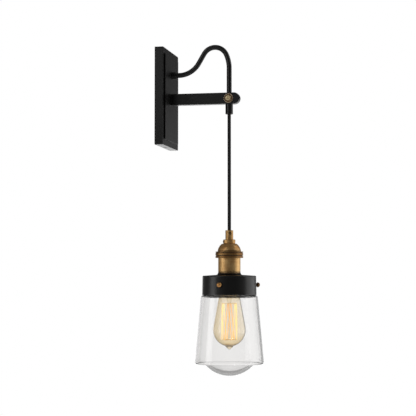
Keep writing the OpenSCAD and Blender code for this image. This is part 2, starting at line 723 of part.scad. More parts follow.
module terminal_screws() color(BRASS) for (s = [0, 180]) around(90 + s, terminal_z)
    translate([core_d / 2 - pocket_in, 0, 0]) rotate([0, 90, 0])
        screw(terminal_d, core_d / 4 - pocket_in - terminal_tip, 2 * terminal_d, terminal_head_h);

module shade_holder() color(BLACK) difference() {
    on_hanging_line() rotate_extrude() polygon(concat(
        [[barrel_d / 2 + slip, crown_z], [boss_r, crown_z]],
        arc(flare_c, flare_r, flare_from, flare_to, 4),
        arc(crown_edge_c, crown_edge, 88, 0, 5),
        [[holder_r, holder_foot_z], [holder_in_r, holder_foot_z]],
        arc(crown_edge_c, crown_edge - holder_t, 0, 88, 3),
        [[nut_d / 2 + 2 * lay, under_crown_z], [barrel_d / 2 + slip, under_crown_z]]));
    for (a = shade_screw_angles) around(a, shade_screw_z)
        rod_x(shade_screw_d + 2 * slip, holder_in_r - weld_nut_t - cut, holder_r + cut);
}

module holder_nut() color(STEEL) on_hanging_line() difference() {
    ring(nut_d, barrel_d + 2 * slip, under_crown_z, under_crown_z - nut_h);
    for (i = [0:5]) rotate(60 * i)
        translate([(nut_d - nut_notch) / 2, -nut_notch / 2, under_crown_z - nut_h - cut])
            cube([nut_notch, nut_notch, 0.8 * nut_h + cut]);
}

module weld_nuts() color(STEEL) for (a = shade_screw_angles) around(a, shade_screw_z)
    difference() {
        rod_x(weld_nut_d, holder_in_r - weld_nut_t - weld_nut_in, holder_in_r - weld_nut_in);
        rod_x(shade_screw_d + 2 * slip, 0, holder_r);
    }

// Outline of the glass from its top to the middle of its dome, moved in by a wall
function glass_side(inset) = concat(
    [[glass_neck_r - inset, glass_shoulder_z + neck_fillet]],
    arc([glass_neck_r + neck_fillet, glass_shoulder_z + neck_fillet], neck_fillet + inset, 180, 270, 6),
    arc(shoulder_c, shoulder_round - inset, 90, cone_angle, 8),
    arc(rim_c, rim_round - inset, cone_angle, -90, 7),
    let (r = dome_r - inset, a = -asin((dome_c - base_z - inset) / r))
    arc([0, dome_c], r, a, -90, 18));

module glass_shade() color(GLASS) on_hanging_line() rotate_extrude() {
    inner = glass_side(glass_t);
    n = len(inner);
    polygon(concat([[glass_neck_r - glass_t, glass_top_z], [lip_r - lip_edge, glass_top_z]],
        arc([lip_r - lip_edge, glass_top_z - lip_edge], lip_edge, 90, 0, 3),
        [[lip_r, lip_foot_z + lip_slope], [glass_neck_r, lip_foot_z]],
        glass_side(0), [for (i = [1:n]) inner[n - i]]));
}

module bulb_base() color(STEEL) on_hanging_line() {
    lip_z = bulb_top_z - base_lip;
    lip_out = insulator_r + lay + base_t;
    rotate_extrude() polygon([[base_r - base_t, base_foot_z], [base_r, base_foot_z],
        [base_r, bulb_top_z - base_cone], [lip_out, lip_z], [lip_out - base_t, lip_z],
        [base_r - base_t, bulb_top_z - base_cone - lay]]);
}

module bulb_insulator() color([0.1, 0.1, 0.12]) on_hanging_line() rotate_extrude() polygon([
    [0, bulb_top_z - base_cone], [insulator_r, bulb_top_z - base_lip - lay],
    [insulator_r, bulb_top_z - base_lip + lay], [tip_d / 2 + tip_h, bulb_top_z - tip_h],
    [0, bulb_top_z - tip_h]]);

module bulb_contact() color(STEEL) on_hanging_line()
    translate([0, 0, bulb_top_z - tip_h]) cylinder(d = tip_d, h = tip_h);

// Outline of the bulb's glass from its throat round to an angle on its sphere, moved in by a wall
neck_c = [base_r - base_gap, throat_z];
neck_round = throat_r - neck_c[0];
touch_angle = atan2(neck_c[1] - bulb_c, neck_c[0])
    - acos((bulb_r - neck_round) / norm([neck_c[0], neck_c[1] - bulb_c]));
function bulb_side(inset, last_angle) = concat(
    [[neck_c[0] - inset, base_foot_z + bulb_tail],
        [neck_c[0] - inset, throat_z + neck_round - inset]],
    arc(neck_c, neck_round - inset, 80, touch_angle, 6),
    arc([0, bulb_c], bulb_r - inset, touch_angle, last_angle, 24));

module bulb_glass() color(AMBER) on_hanging_line() rotate_extrude() {
    inner = bulb_side(bulb_wall, -90);
    n = len(inner);
    polygon(concat(bulb_side(0, -acos(nub_r / bulb_r)),
        [[0.45 * nub_r, bulb_tip_z + 0.42 * nub_h], [nub_tip_r, bulb_tip_z + nub_tip_r / 3],
            [0, bulb_tip_z]],
        [for (i = [1:n]) inner[n - i]]));
}

module bulb_stem() color(GLASS) on_hanging_line() rotate_extrude() polygon([
    [0, base_foot_z + bulb_tail / 2], [stem_foot_r, base_foot_z + bulb_tail / 2],
    [stem_foot_r, base_foot_z], [stem_r + tip_h, base_foot_z - stem_cone_h],
    [stem_r, cage_top_z + stem_r], [rod_d / 2, cage_top_z + stay_d],
    [rod_d / 2, cage_foot_z - stay_d], [0, cage_foot_z - stay_d]]);

module filament_supports() color(STEEL) on_hanging_line() for (i = [0:strands / 2 - 1]) {
    step = 720 / strands;
    translate([0, 0, cage_top_z]) rotate(step * i)
        rod_x(stay_d, rod_d / 2 + slip, cage_r + stay_out);
    translate([0, 0, cage_foot_z]) rotate(step * (i + 0.5))
        rod_x(stay_d, rod_d / 2 + slip, cage_r + stay_out);
}

module filament() color([1, 0.55, 0.15]) on_hanging_line() for (i = [0:strands - 1]) {
    pitch = 360 / strands;
    up = cage_top_z - stay_d / 2 - lay;
    low = cage_foot_z + stay_d / 2 + lay;
    a = cage_r * [cos(pitch * (i + 0.08)), sin(pitch * (i + 0.08))];
    b = cage_r * [cos(pitch * (i + 0.92)), sin(pitch * (i + 0.92))];
    from = i % 2 == 0 ? [a[0], a[1], up] : [b[0], b[1], up];
    to = i % 2 == 0 ? [b[0], b[1], low] : [a[0], a[1], low];
    v = to - from;
    translate(from) rotate([0, acos(v[2] / norm(v)), atan2(v[1], v[0])])
        cylinder(d = strand_d, h = norm(v));
}

module shade_screw(i) color(COPPER) around(shade_screw_angles[i], shade_screw_z)
    rotate([0, 90, 0]) rotate_extrude() polygon(concat(
        [[0, glass_neck_r + lay], [shade_screw_d / 2, glass_neck_r + lay + shade_screw_tip],
        [shade_screw_d / 2, holder_r + free], [shade_head_d / 3, holder_r + free],
        [shade_head_d / 3, holder_r + shade_head_neck]],
        arc([shade_head_d / 2 - shade_head_rim, holder_r + shade_head_neck + shade_head_rim],
            shade_head_rim, -90, 0, 3),
        arc([0, holder_r + shade_head_neck + shade_head_rim], shade_head_d / 2, 4, 90, 10)));

mounting_strap();
ground_screw();
backplate_pan();
pan_screws();
tube_boss();
boss_nut();
gooseneck_tube();
supply_cable();
arm_bar();
arm_screws();
knob_washer();
ferrule();
knob_disc();
knob_screw();
swivel_washer();
swivel_ball();
pendant_cord();
cord_grip();
grip_screw();
neck_ring();
neck_screw();
socket_cap();
ribbed_ring();
socket_shell();
shell_liner();
lampholder_core();
contact_shell();
centre_contact();
terminal_screws();
shade_holder();
holder_nut();
weld_nuts();
glass_shade();
bulb_base();
bulb_insulator();
bulb_contact();
bulb_glass();
bulb_stem();
filament_supports();
filament();
for (i = [0:2]) shade_screw(i);
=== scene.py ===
"""Wall sconce: its pieces, finishes, studio light and camera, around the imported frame."""

import math

import bmesh
import bpy
from bpy.props import FloatProperty, FloatVectorProperty, IntProperty, PointerProperty
from bpy.types import Operator, Panel, PropertyGroup
from mathutils import Matrix, Vector


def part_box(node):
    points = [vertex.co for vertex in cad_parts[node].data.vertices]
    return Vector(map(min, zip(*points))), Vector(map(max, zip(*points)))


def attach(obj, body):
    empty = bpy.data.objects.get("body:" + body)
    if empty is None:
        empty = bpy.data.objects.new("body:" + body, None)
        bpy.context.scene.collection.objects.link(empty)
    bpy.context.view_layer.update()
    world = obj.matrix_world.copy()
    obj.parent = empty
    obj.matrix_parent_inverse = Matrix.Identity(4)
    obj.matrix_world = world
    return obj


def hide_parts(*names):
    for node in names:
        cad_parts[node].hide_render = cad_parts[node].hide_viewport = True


bl_info = {
    "name": "Corded Wall Sconce",
    "version": (1, 0, 0),
    "blender": (4, 5, 0),
    "location": "3D Viewport > Sidebar > Sconce",
    "description": "Wall sconce with a gooseneck tube, a corded brass socket and a glass shade",
    "category": "Object",
}

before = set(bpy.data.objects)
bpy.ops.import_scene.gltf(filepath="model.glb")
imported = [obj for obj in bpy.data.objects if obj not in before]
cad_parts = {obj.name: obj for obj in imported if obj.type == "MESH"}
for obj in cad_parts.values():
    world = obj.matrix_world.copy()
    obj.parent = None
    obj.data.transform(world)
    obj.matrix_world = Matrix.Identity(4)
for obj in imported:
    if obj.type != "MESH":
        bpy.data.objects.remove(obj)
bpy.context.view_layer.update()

MM = 0.001


# ---------------------------------------------------------------- places, read from the frame

def low(node, axis):
    """Lowest coordinate of a node along an axis, in millimetres"""
    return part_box(node)[0][axis] / MM


def high(node, axis):
    """Highest coordinate of a node along an axis, in millimetres"""
    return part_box(node)[1][axis] / MM


def middle(node, axis):
    """Middle of a node along an axis, in millimetres"""
    return (low(node, axis) + high(node, axis)) / 2


def wide(node, axis):
    """Size of a node along an axis, in millimetres"""
    return high(node, axis) - low(node, axis)


def foot_of(node):
    return low(node, 2)


def top_of(node):
    return high(node, 2)


def radius_of(node):
    """Half of a node's size across the sconce"""
    return wide(node, 0) / 2


REACH = -middle("pendant_cord", 1)
ON_LINE = Matrix.Translation((0, -REACH * MM, 0))
PLATE_BORDER, PANEL_RISE = 10, 2.6


def off_wall(x, z):
    """Frame whose Z leaves the wall at a point of it, in millimetres"""
    return Matrix.Translation((x * MM, 0, z * MM)) @ Matrix.Rotation(math.radians(90), 4, "X")


def on_arm(z):
    """Frame whose Z points to the arm's front side, on the hanging line"""
    return (Matrix.Translation((0, -REACH * MM, z * MM))
            @ Matrix.Rotation(math.radians(-90), 4, "Y"))


def around(angle, z):
    """Frame whose Z points away from the hanging line in a direction, at a height"""
    return (Matrix.Translation((0, -REACH * MM, z * MM))
            @ Matrix.Rotation(math.radians(angle), 4, "Z")
            @ Matrix.Rotation(math.radians(90), 4, "Y"))


# ---------------------------------------------------------------- sizes and colours

def length_setting(name, description, default, least, most):
    return FloatProperty(name=name, description=description, default=default, min=least,
                         max=most, unit="LENGTH")


def colour_setting(name, description, default):
    return FloatVectorProperty(name=name, description=description, default=default, min=0,
                               max=1, subtype="COLOR")


class SconceSizes(PropertyGroup):
    """Sizes of the details that the frame leaves to the looks"""
    edge_round: length_setting(
        "Edge Rounding", "Rounding of the turned metal edges", 0.0003, 0.0001, 0.001)
    plate_edge: length_setting(
        "Backplate Edge", "Rounding of the pressed backplate's edges", 0.0004, 0.0002, 0.0008)
    plate_corner: length_setting(
        "Backplate Corner", "Corner radius of the backplate and its panel", 0.003, 0.001, 0.006)
    plate_sheet: length_setting(
        "Backplate Sheet", "Thickness of the backplate's sheet", 0.0014, 0.0008, 0.002)
    arm_edge: length_setting(
        "Arm Edge", "Rounding along the arm", 0.0012, 0.0003, 0.003)
    turn_steps: IntProperty(
        name="Turning Steps", description="Faces around a turned piece",
        default=96, min=24, max=192)
    braid_height: length_setting(
        "Braid Height", "How far the cord's braid stands up", 0.00007, 0.0, 0.0003)
    braid_pitch: length_setting(
        "Braid Pitch", "Length of one diamond of the cord's braid", 0.0024, 0.0012, 0.005)
    filament_wire: length_setting(
        "Filament Wire", "Radius of the glowing wire", 0.0005, 0.0001, 0.0006)


class SconceColours(PropertyGroup):
    """Colours of the finishes, the light and the studio"""
    coat: colour_setting(
        "Black Coat", "Satin black powder coat", (0.0022, 0.002, 0.0019))
    brass: colour_setting(
        "Brass", "Brushed brass where the patina is thin", (0.66, 0.43, 0.185))
    copper: colour_setting(
        "Coppery Brass", "Warm brown tone of the aged brass", (0.5, 0.25, 0.085))
    # The patina colour also paints the shade band at the feet of the shell and the dome
    patina: colour_setting(
        "Patina", "Dark film in the grooves of the brass", (0.055, 0.038, 0.028))
    zinc: colour_setting(
        "Zinc", "Zinc plating of the strap and the nuts", (0.62, 0.62, 0.6))
    cloth: colour_setting(
        "Cord Cloth", "Braided cloth of the cord", (0.0085, 0.0082, 0.008))
    glass: colour_setting(
        "Shade Glass", "Tint of the clear shade", (0.935, 0.93, 0.925))
    amber: colour_setting(
        "Amber Glass", "Tint of the bulb's glass", (0.985, 0.88, 0.68))
    smoke: colour_setting(
        "Bulb Smoke", "Brown film around the bulb's sealed tip", (0.72, 0.58, 0.38))
    glow: colour_setting(
        "Filament Glow", "Colour of the lit filament", (1.0, 0.44, 0.05))
    hot_glow: colour_setting(
        "Hottest Glow", "Colour of the hottest strands of the filament", (1.0, 0.74, 0.3))
    glow_strength: FloatProperty(
        name="Glow Strength", description="Brightness of the lit filament",
        default=1.5, min=0, max=20)
    floor: colour_setting("Floor", "Plain pale floor", (0.9, 0.9, 0.9))


def sizes():
    return bpy.context.scene.sconce_sizes


def colours():
    return bpy.context.scene.sconce_colours


# ---------------------------------------------------------------- finishes

class Nodes:
    """A node tree, written as one call per node"""

    def __init__(self, tree):
        self.tree = tree

    def node(self, kind, inputs=None, **settings):
        made = self.tree.nodes.new("ShaderNode" + kind)
        for key, value in settings.items():
            setattr(made, key, value)
        for socket, value in (inputs or {}).items():
            self.feed(made.inputs[socket], value)
        return made

    def feed(self, socket, value):
        if isinstance(value, bpy.types.NodeSocket):
            self.tree.links.new(value, socket)
        else:
            socket.default_value = value

    def value(self, operation, a, b=0.0, clamp=False):
        made = self.node("Math", {0: a, 1: b}, operation=operation, use_clamp=clamp)
        return made.outputs[0]


class Recipe(Nodes):
    """A material's nodes around its shader"""

    def __init__(self, name, uniform):
        self.material = bpy.data.materials.new(name)
        self.material.use_nodes = True
        super().__init__(self.material.node_tree)
        self.shader = self.tree.nodes["Principled BSDF"]
        for socket, value in uniform.items():
            self.shader.inputs[socket].default_value = value

    def place(self):
        """Object coordinates"""
        return self.node("TexCoord").outputs["Object"]

    def noise(self, vector, scale, detail=2.0, roughness=0.5):
        made = self.node("TexNoise", {"Vector": vector, "Scale": scale, "Detail": detail,
                                      "Roughness": roughness})
        return made.outputs["Fac"]

    def spread(self, value, low_end, high_end, to_low=0.0, to_high=1.0):
        made = self.node("MapRange", {"Value": value, "From Min": low_end, "From Max": high_end,
                                      "To Min": to_low, "To Max": to_high})
        return made.outputs["Result"]

    def ramp(self, value, stops):
        made = self.node("ValToRGB", {"Fac": value})
        marks = made.color_ramp.elements
        while len(marks) < len(stops):
            marks.new(0.5)
        for mark, (position, colour) in zip(marks, stops):
            mark.position = position
            mark.color = (*colour[:3], 1)
        return made.outputs["Color"]

    def mix(self, fac, a, b):
        made = self.node("Mix", data_type="RGBA")
        self.feed(made.inputs["Factor"], fac)
        for socket, value in (("A", a), ("B", b)):
            target = [s for s in made.inputs if s.name == socket and s.type == "RGBA"][0]
            self.feed(target, value if isinstance(value, bpy.types.NodeSocket)
                      else (*value[:3], 1))
        return [s for s in made.outputs if s.type == "RGBA"][0]

    def colour(self, value):
        self.feed(self.shader.inputs["Base Color"], value)

    def roughness(self, value, low_end, high_end):
        self.feed(self.shader.inputs["Roughness"], self.spread(value, 0.0, 1.0, low_end, high_end))

    def bump(self, height, depth, strength=1.0, under=None):
        made = self.node("Bump", {"Height": height, "Strength": strength, "Distance": depth})
        if under is not None:
            self.feed(made.inputs["Normal"], under)
        self.feed(self.shader.inputs["Normal"], made.outputs["Normal"])
        return made.outputs["Normal"]

    def round_line(self):
        """Distance from the hanging line, the direction around it and the height"""
        part = self.node("SeparateXYZ", {"Vector": self.place()}).outputs
        y = self.value("ADD", part["Y"], REACH * MM)
        radius = self.value("SQRT", self.value("ADD", self.value("MULTIPLY", part["X"], part["X"]),
                                               self.value("MULTIPLY", y, y)))
        safe = self.value("MAXIMUM", radius, 1e-5)
        return (radius, self.value("DIVIDE", part["X"], safe), self.value("DIVIDE", y, safe),
                part["Z"])


def shaded(colour, factor):
    """A colour made darker or lighter"""
    return tuple(min(1.0, c * factor) for c in colour[:3])


def powder_coat(name, pressed=False, dull_over=None):
    """Satin black powder coat: fine orange peel, faint cloudiness and uneven gloss. Round a
    pressed panel its gloss is dulled in a narrow band at the panel's step, which paints the shade
    line there, and it may be dull over a height"""
    black, gloss, dull = colours().coat, 0.5, 0.06
    coat = Recipe(name, {"IOR": 1.5})
    place = coat.place()
    cloud = coat.noise(place, 34.0, 3.0)
    coat.colour(coat.ramp(cloud, [(0.3, shaded(black, 0.8)), (0.7, shaded(black, 1.2))]))
    part = coat.node("SeparateXYZ", {"Vector": place}).outputs
    if dull_over is not None:
        foot = dull_over * MM
        coat.feed(coat.shader.inputs["Specular IOR Level"],
                  coat.spread(part["Z"], foot - 0.0004, foot, gloss, dull))
    # Painted shade: a narrow band round the raised panel's step loses its gloss, so a dark shade
    # line shows there
    if pressed:
        past = [coat.value("SUBTRACT", coat.value("ABSOLUTE", part[axis]),
                           (wide("backplate_pan", index) / 2 - PLATE_BORDER) * MM)
                for axis, index in (("X", 0), ("Z", 2))]
        past = coat.value("MAXIMUM", *past)
        corner = coat.value("MULTIPLY", coat.spread(past, -0.0003, -0.0001),
                            coat.spread(past, 0.0009, 0.0002))
        coat.feed(coat.shader.inputs["Specular IOR Level"],
                  coat.spread(corner, 0.0, 1.0, gloss, dull))
    coat.roughness(coat.noise(place, 120.0, 3.0), 0.26, 0.4)
    peel = coat.bump(coat.noise(place, 900.0, 2.0), 0.00003, 0.4)
    coat.bump(coat.noise(place, 3600.0, 1.0), 0.00001, 0.2, under=peel)
    return coat.material


def aged_brass(name, warmth, groove_in=None, painted_foot_shade=None, tarnish=0.5, lift=1.0,
               rough=(0.36, 0.58), clean=None):
    """Turned and brushed brass with a brown patina that lies in clouds, streaks and grooves, and
    where asked a painted shade band that darkens it towards its foot
    """
    tint = colours()
    yellow, brown = shaded(clean or tint.brass, lift), shaded(tint.copper, lift)
    brass = Recipe(name, {"Metallic": 1.0})
    radius, east, north, height = brass.round_line()
    along = brass.value("ADD", height, radius)
    lathe = brass.node("CombineXYZ", {
        "X": brass.value("MULTIPLY", east, 0.0006), "Y": brass.value("MULTIPLY", north, 0.0006),
        "Z": along}).outputs[0]
    brushed = brass.noise(lathe, 3200.0, 4.0, 0.6)
    bands = brass.noise(lathe, 420.0, 2.0)
    cloud = brass.noise(brass.place(), 95.0, 4.0, 0.55)
    fleck = brass.noise(brass.place(), 520.0, 3.0, 0.6)
    warm = brass.spread(brass.value("ADD", cloud, brass.value("MULTIPLY", bands, 0.5)),
                        0.55, 0.95, 0.0, 1.0)
    warm = brass.value("ADD", warm, warmth - 0.5, clamp=True)
    body = brass.mix(warm, yellow, brown)
    body = brass.mix(brass.spread(brushed, 0.35, 0.75, 0.0, 0.35), body, shaded(brown, 0.45))
    film = brass.spread(brass.value("ADD", fleck, brass.value("MULTIPLY", cloud, 0.6)),
                        0.82, 1.15, 0.0, tarnish)
    if groove_in is not None:
        shallow, deep = groove_in
        film = brass.value("MAXIMUM", film,
                           brass.spread(radius, shallow * MM, deep * MM, 0.0, 0.95))
    # Painted shade: the patina colour is laid on in a band just above the foot, for the shade and
    # dark reflection there
    if painted_foot_shade is not None:
        start, dark = painted_foot_shade
        film = brass.value("MAXIMUM", film, brass.spread(height, start * MM, dark * MM, 0.0, 0.9))
    # film carries real patina in clouds, streaks and grooves, and the painted shade at the foot
    brass.colour(brass.mix(film, body, tint.patina))
    brass.roughness(brass.value("ADD", brass.value("MULTIPLY", cloud, 0.5),
                                brass.value("MULTIPLY", brushed, 0.5)), *rough)
    fine = brass.bump(brushed, 0.00002, 0.5)
    brass.bump(fleck, 0.00002, 0.25, under=fine)
    return brass.material


def plated(name, colour, rough=(0.28, 0.5)):
    """Plated steel: fine spangle, drawn streaks and dull patches"""
    steel = Recipe(name, {"Metallic": 1.0})
    place = steel.place()
    cells = steel.node("TexVoronoi", {"Vector": place, "Scale": 416.0}).outputs["Distance"]
    cloud = steel.noise(place, 78.0, 4.0)
    steel.colour(steel.ramp(cloud, [(0.25, shaded(colour, 0.7)), (0.75, colour)]))
    steel.roughness(steel.value("ADD", steel.value("MULTIPLY", cells, 0.4), cloud), *rough)
    grain = steel.bump(steel.noise(place, 2340.0, 2.0), 0.00003, 0.4)
    steel.bump(cells, 0.00004, 0.2, under=grain)
    return steel.material


def moulded(name, colour, rough, grain=900.0):
    """Moulded or pressed insulation: speckle, flow marks and a fine skin"""
    plastic = Recipe(name, {"IOR": 1.48})
    place = plastic.place()
    speck = plastic.noise(place, grain, 3.0, 0.6)
    flow = plastic.noise(place, grain * 0.08, 3.0)
    plastic.colour(plastic.mix(plastic.spread(plastic.value("ADD", speck, flow), 0.8, 1.2),
                               shaded(colour, 0.65), shaded(colour, 1.25)))
    plastic.roughness(speck, *rough)
    plastic.bump(speck, 0.00004, 0.5)
    return plastic.material


def braided_cloth(name):
    """Black braided cloth: two sets of threads crossing on the cord's own map, with fuzz. The
    crossings are painted lighter where the braid stands up and darker in its dips, as painted
    highlight and painted shade
    """
    base = colours().cloth
    cloth = Recipe(name, {"Roughness": 0.75, "Sheen Weight": 0.04, "Sheen Roughness": 0.5,
                          "Specular IOR Level": 0.2})
    sheet = cloth.node("UVMap", uv_map="wrap").outputs["UV"]
    part = cloth.node("SeparateXYZ", {"Vector": sheet}).outputs
    left = cloth.value("SINE", cloth.value("ADD", part["X"], part["Y"]))
    right = cloth.value("SINE", cloth.value("SUBTRACT", part["X"], part["Y"]))
    crossing = cloth.value("MULTIPLY", left, right)
    thread = cloth.value("SINE", cloth.value(
        "MULTIPLY", cloth.value("ADD", part["X"], part["Y"]), 6.0))
    fuzz = cloth.noise(cloth.place(), 2600.0, 3.0)
    rough = cloth.value("ADD", crossing, cloth.value("MULTIPLY", fuzz, 0.8))
    # The colour follows the braid's relief: lighter on the crowns, darker in the dips as painted
    # shade; the fuzz adds the cloth's own random tone
    tone = cloth.spread(rough, -0.6, 1.4)
    cloth.colour(cloth.mix(tone, shaded(base, 0.7), shaded(base, 1.8)))
    under = cloth.bump(crossing, 0.00004, 0.3)
    under = cloth.bump(thread, 0.00002, 0.3, under=under)
    cloth.bump(fuzz, 0.00002, 0.3, under=under)
    return cloth.material


def blown_glass(name, tint, bend=1.36, shade_below=None):
    """Clear blown glass with a faint wave in its surface, and where asked greyer towards the
    bottom as painted shade
    """
    glass = Recipe(name, {"Transmission Weight": 1.0, "Roughness": 0.0, "IOR": bend})
    wave = glass.noise(glass.place(), 24.0, 2.0)
    clear = glass.ramp(wave, [(0.3, shaded(tint, 0.99)), (0.7, tint)])
    if shade_below is not None:
        # Painted shade: the tint turns greyer over the lowest part, darkening the domed base
        _, _, _, height = glass.round_line()
        base_shade = glass.spread(height, shade_below * MM, (shade_below - 8) * MM)
        clear = glass.mix(base_shade, clear, shaded(tint, 0.92))
    glass.colour(clear)
    glass.bump(wave, 0.000003, 0.3)
    return glass.material


def amber_glass(name):
    """Amber bulb glass, brown round its sealed tip and bent less at the tip; painted paler in the
    middle as painted light from the glow, and darker on the wall side as painted shade
    """
    tint = colours()
    foot, top = foot_of("bulb_glass") * MM, top_of("bulb_glass") * MM
    glass = Recipe(name, {"Transmission Weight": 1.0, "Roughness": 0.0})
    _, _, north, height = glass.round_line()
    glass.feed(glass.shader.inputs["IOR"],
               glass.spread(height, foot + 0.004, foot + 0.009, 1.08, 1.3))
    streak = glass.noise(glass.place(), 60.0, 2.0)
    rise = glass.spread(height, foot, top)
    depth = glass.value("ADD", rise, glass.value("MULTIPLY", streak, 0.1))
    # Painted light: the tint is paler in the middle, where the lit filament brightens the glass;
    # it deepens to amber towards the ends
    pale = tuple(0.5 + 0.5 * c for c in tint.amber)
    film = glass.ramp(depth, [(0.0, pale), (0.085, tint.amber), (0.11, tint.smoke),
                              (0.15, tint.amber), (0.3, pale), (0.85, pale), (1.0, tint.amber)])
    # Painted shade: the glass is tinted darker on the side towards the wall
    wall_side = glass.spread(north, 0.72, 0.9)
    glass.colour(glass.mix(wall_side, film, shaded(tint.amber, 0.93)))
    glass.bump(streak, 0.00001, 0.5)
    return glass.material


def lit_wire(name, strength=1.0):
    """Glowing carbon wire: orange, and pale yellow in the strands that run hottest"""
    tint = colours()
    foot, top = foot_of("filament") * MM, top_of("filament") * MM
    wire = Recipe(name, {"Roughness": 0.6, "Base Color": (0.1, 0.05, 0.02, 1),
                         "Emission Strength": tint.glow_strength * strength})
    _, _, north, height = wire.round_line()
    rise = wire.spread(height, foot, top)
    rise = wire.value("ADD", rise, wire.value("MULTIPLY", wire.noise(wire.place(), 140.0), 0.12))
    heat = wire.ramp(rise, [(0.0, shaded(tint.glow, 0.75)), (0.25, tint.glow), (0.7, tint.glow),
                            (1.0, shaded(tint.glow, 0.8))])
    hot = wire.spread(wire.value("ABSOLUTE", north), 0.3, 0.8)
    wire.feed(wire.shader.inputs["Emission Color"], wire.mix(hot, heat, tint.hot_glow))
    return wire.material


FINISHES = {
    "black_metal": lambda: powder_coat("satin_black_coat"),
    "pressed_black": lambda: powder_coat("pressed_black_coat", pressed=True),
    "holder_black": lambda: powder_coat(
        "holder_black_coat", dull_over=top_of("shade_holder") - 3.4),
    "steel": lambda: plated("zinc_plate", colours().zinc),
    # The shell and the dome take a painted shade band at their feet: the brass darkens there
    # towards the patina colour
    "shell_brass": lambda: aged_brass(
        "brushed_shell_brass", 0.12, tarnish=0.25, lift=1.2,
        painted_foot_shade=(foot_of("socket_shell") + 5.5, foot_of("socket_shell") + 1)),
    "grip_brass": lambda: aged_brass("cord_grip_brass", 0.45),
    "dome_brass": lambda: aged_brass(
        "dome_brass", 0.45, tarnish=0.3,
        painted_foot_shade=(top_of("ribbed_ring") + 2.6, top_of("ribbed_ring") + 0.4)),
    "rib_brass": lambda: aged_brass(
        "ribbed_ring_brass", 0.85, groove_in=(24.4, 23.7), tarnish=0.6, lift=0.58),
    "neck_brass": lambda: aged_brass("neck_ring_brass", 0.6, tarnish=0.3, lift=1.05),
    "ball_brass": lambda: aged_brass("dark_ball_brass", 1.0, tarnish=1.0, lift=0.3),
    "core_brass": lambda: aged_brass("contact_brass", 0.1, tarnish=0.2),
    "green_screw": lambda: moulded("green_paint", (0.04, 0.25, 0.08), (0.25, 0.4), 700.0),
    "bronze_washer": lambda: plated("dark_bronze", (1.0, 0.82, 0.58), (0.45, 0.6)),
    "knob_ring": lambda: plated("brown_bronze", (0.2, 0.12, 0.07), (0.35, 0.5)),
    "dark_screw": lambda: plated("blackened_steel", (0.03, 0.028, 0.026), (0.35, 0.55)),
    "cord": lambda: braided_cloth("braided_cord_cloth"),
    "fibre": lambda: moulded("pressed_fibre", (0.5, 0.4, 0.27), (0.6, 0.85), 1200.0),
    "phenolic": lambda: moulded("moulded_phenolic", (0.03, 0.025, 0.02), (0.22, 0.4)),
    # The clear shade's glass is painted greyer near its domed base as painted shade
    "clear_glass": lambda: blown_glass(
        "clear_blown_glass", colours().glass, shade_below=foot_of("glass_shade") + 20),
    "amber_glass": lambda: amber_glass("amber_bulb_glass"),
    "bulb_metal": lambda: plated("nickel_plate", (0.7, 0.68, 0.62), (0.18, 0.34)),
    "filament": lambda: lit_wire("lit_filament"),
    "knob_brass": lambda: aged_brass(
        "knob_screw_brass", -0.1, tarnish=0.2, clean=(0.86, 0.72, 0.44)),
    # Lit and shaded copies of one thumb screw brass: the first screw's is painted lighter and
    # glossier, the other two are painted darker under a heavy patina film, as painted light and
    # painted shade
    "thumb_screw": lambda: aged_brass(
        "thumb_screw_brass", 1.0, tarnish=0.2, lift=1.35, rough=(0.26, 0.42)),
    "shaded_copy_thumb_screw": lambda: aged_brass("shaded_copy_thumb_screw_brass", 1.0, tarnish=0.95, lift=0.35),
    "stem_glass": lambda: blown_glass("warm_stem_glass", (1.0, 0.96, 0.86), 1.05),
    # Painted glow: the filament's support hooks get the lit filament finish at half strength,
    # though they are no lamp
    "painted_glow_hooks": lambda: lit_wire("painted_glow_hooks", 0.5),
}
made_finishes = {}


def finish(name):
    """A finish by name, made once"""
    if name not in made_finishes:
        made_finishes[name] = FINISHES[name]()
    return made_finishes[name]


def finish_nodes(name, *nodes):
    """Give carried-over CAD nodes a finish"""
    for node in nodes:
        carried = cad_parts[node]
        carried.data.materials.clear()
        carried.data.materials.append(finish(name))


# ---------------------------------------------------------------- making pieces

def arc(centre, radius, start, stop, steps):
    """Points of an arc between two angles in degrees"""
    angles = [math.radians(start + (stop - start) * i / steps) for i in range(steps + 1)]
    return [(centre[0] + radius * math.cos(a), centre[1] + radius * math.sin(a)) for a in angles]


def bevel(bm, edges, width, segments):
    bmesh.ops.bevel(bm, geom=edges, offset=width, offset_type="OFFSET", segments=segments,
                    profile=0.5, affect="EDGES", clamp_overlap=True, material=-1)


def soften(bm, width, segments=2, limit=28):
    """Round every edge that turns by more than a limit in degrees"""
    bevel(bm, [e for e in bm.edges if e.is_manifold
               and e.calc_face_angle(0) > math.radians(limit)], width, segments)


def sweep(bm, geom, steps, angle=0, centre=(0, 0, 0), axis=(0, 0, 1), step=(0, 0, 0), merge=False):
    """Turn or move edges into faces, and give the edges where they end"""
    return bmesh.ops.spin(bm, geom=geom, cent=centre, axis=axis, dvec=step, angle=angle,
                          steps=steps, use_merge=merge, use_normal_flip=False,
                          use_duplicate=False)["geom_last"]


def edges_of(verts):
    """Edges that meet some vertices, in a steady order"""
    return list(dict.fromkeys(e for v in verts for e in v.link_edges))


def face_outwards(bm):
    bmesh.ops.recalc_face_normals(bm, faces=bm.faces)


def cap_ends(bm):
    """Close the open ends of a rod and turn its faces outwards"""
    bmesh.ops.holes_fill(bm, edges=[e for e in bm.edges if e.is_boundary], sides=0)
    face_outwards(bm)


def block(lo, hi):
    """Box between two corners, in metres"""
    bm = bmesh.new()
    bmesh.ops.create_cube(bm, size=1)
    bmesh.ops.scale(bm, vec=hi - lo, verts=bm.verts)
    bmesh.ops.translate(bm, vec=(lo + hi) / 2, verts=bm.verts)
    return bm


def mesh_of(name, bm):
    mesh = bpy.data.meshes.new(name)
    bm.to_mesh(mesh)
    bm.free()
    return mesh


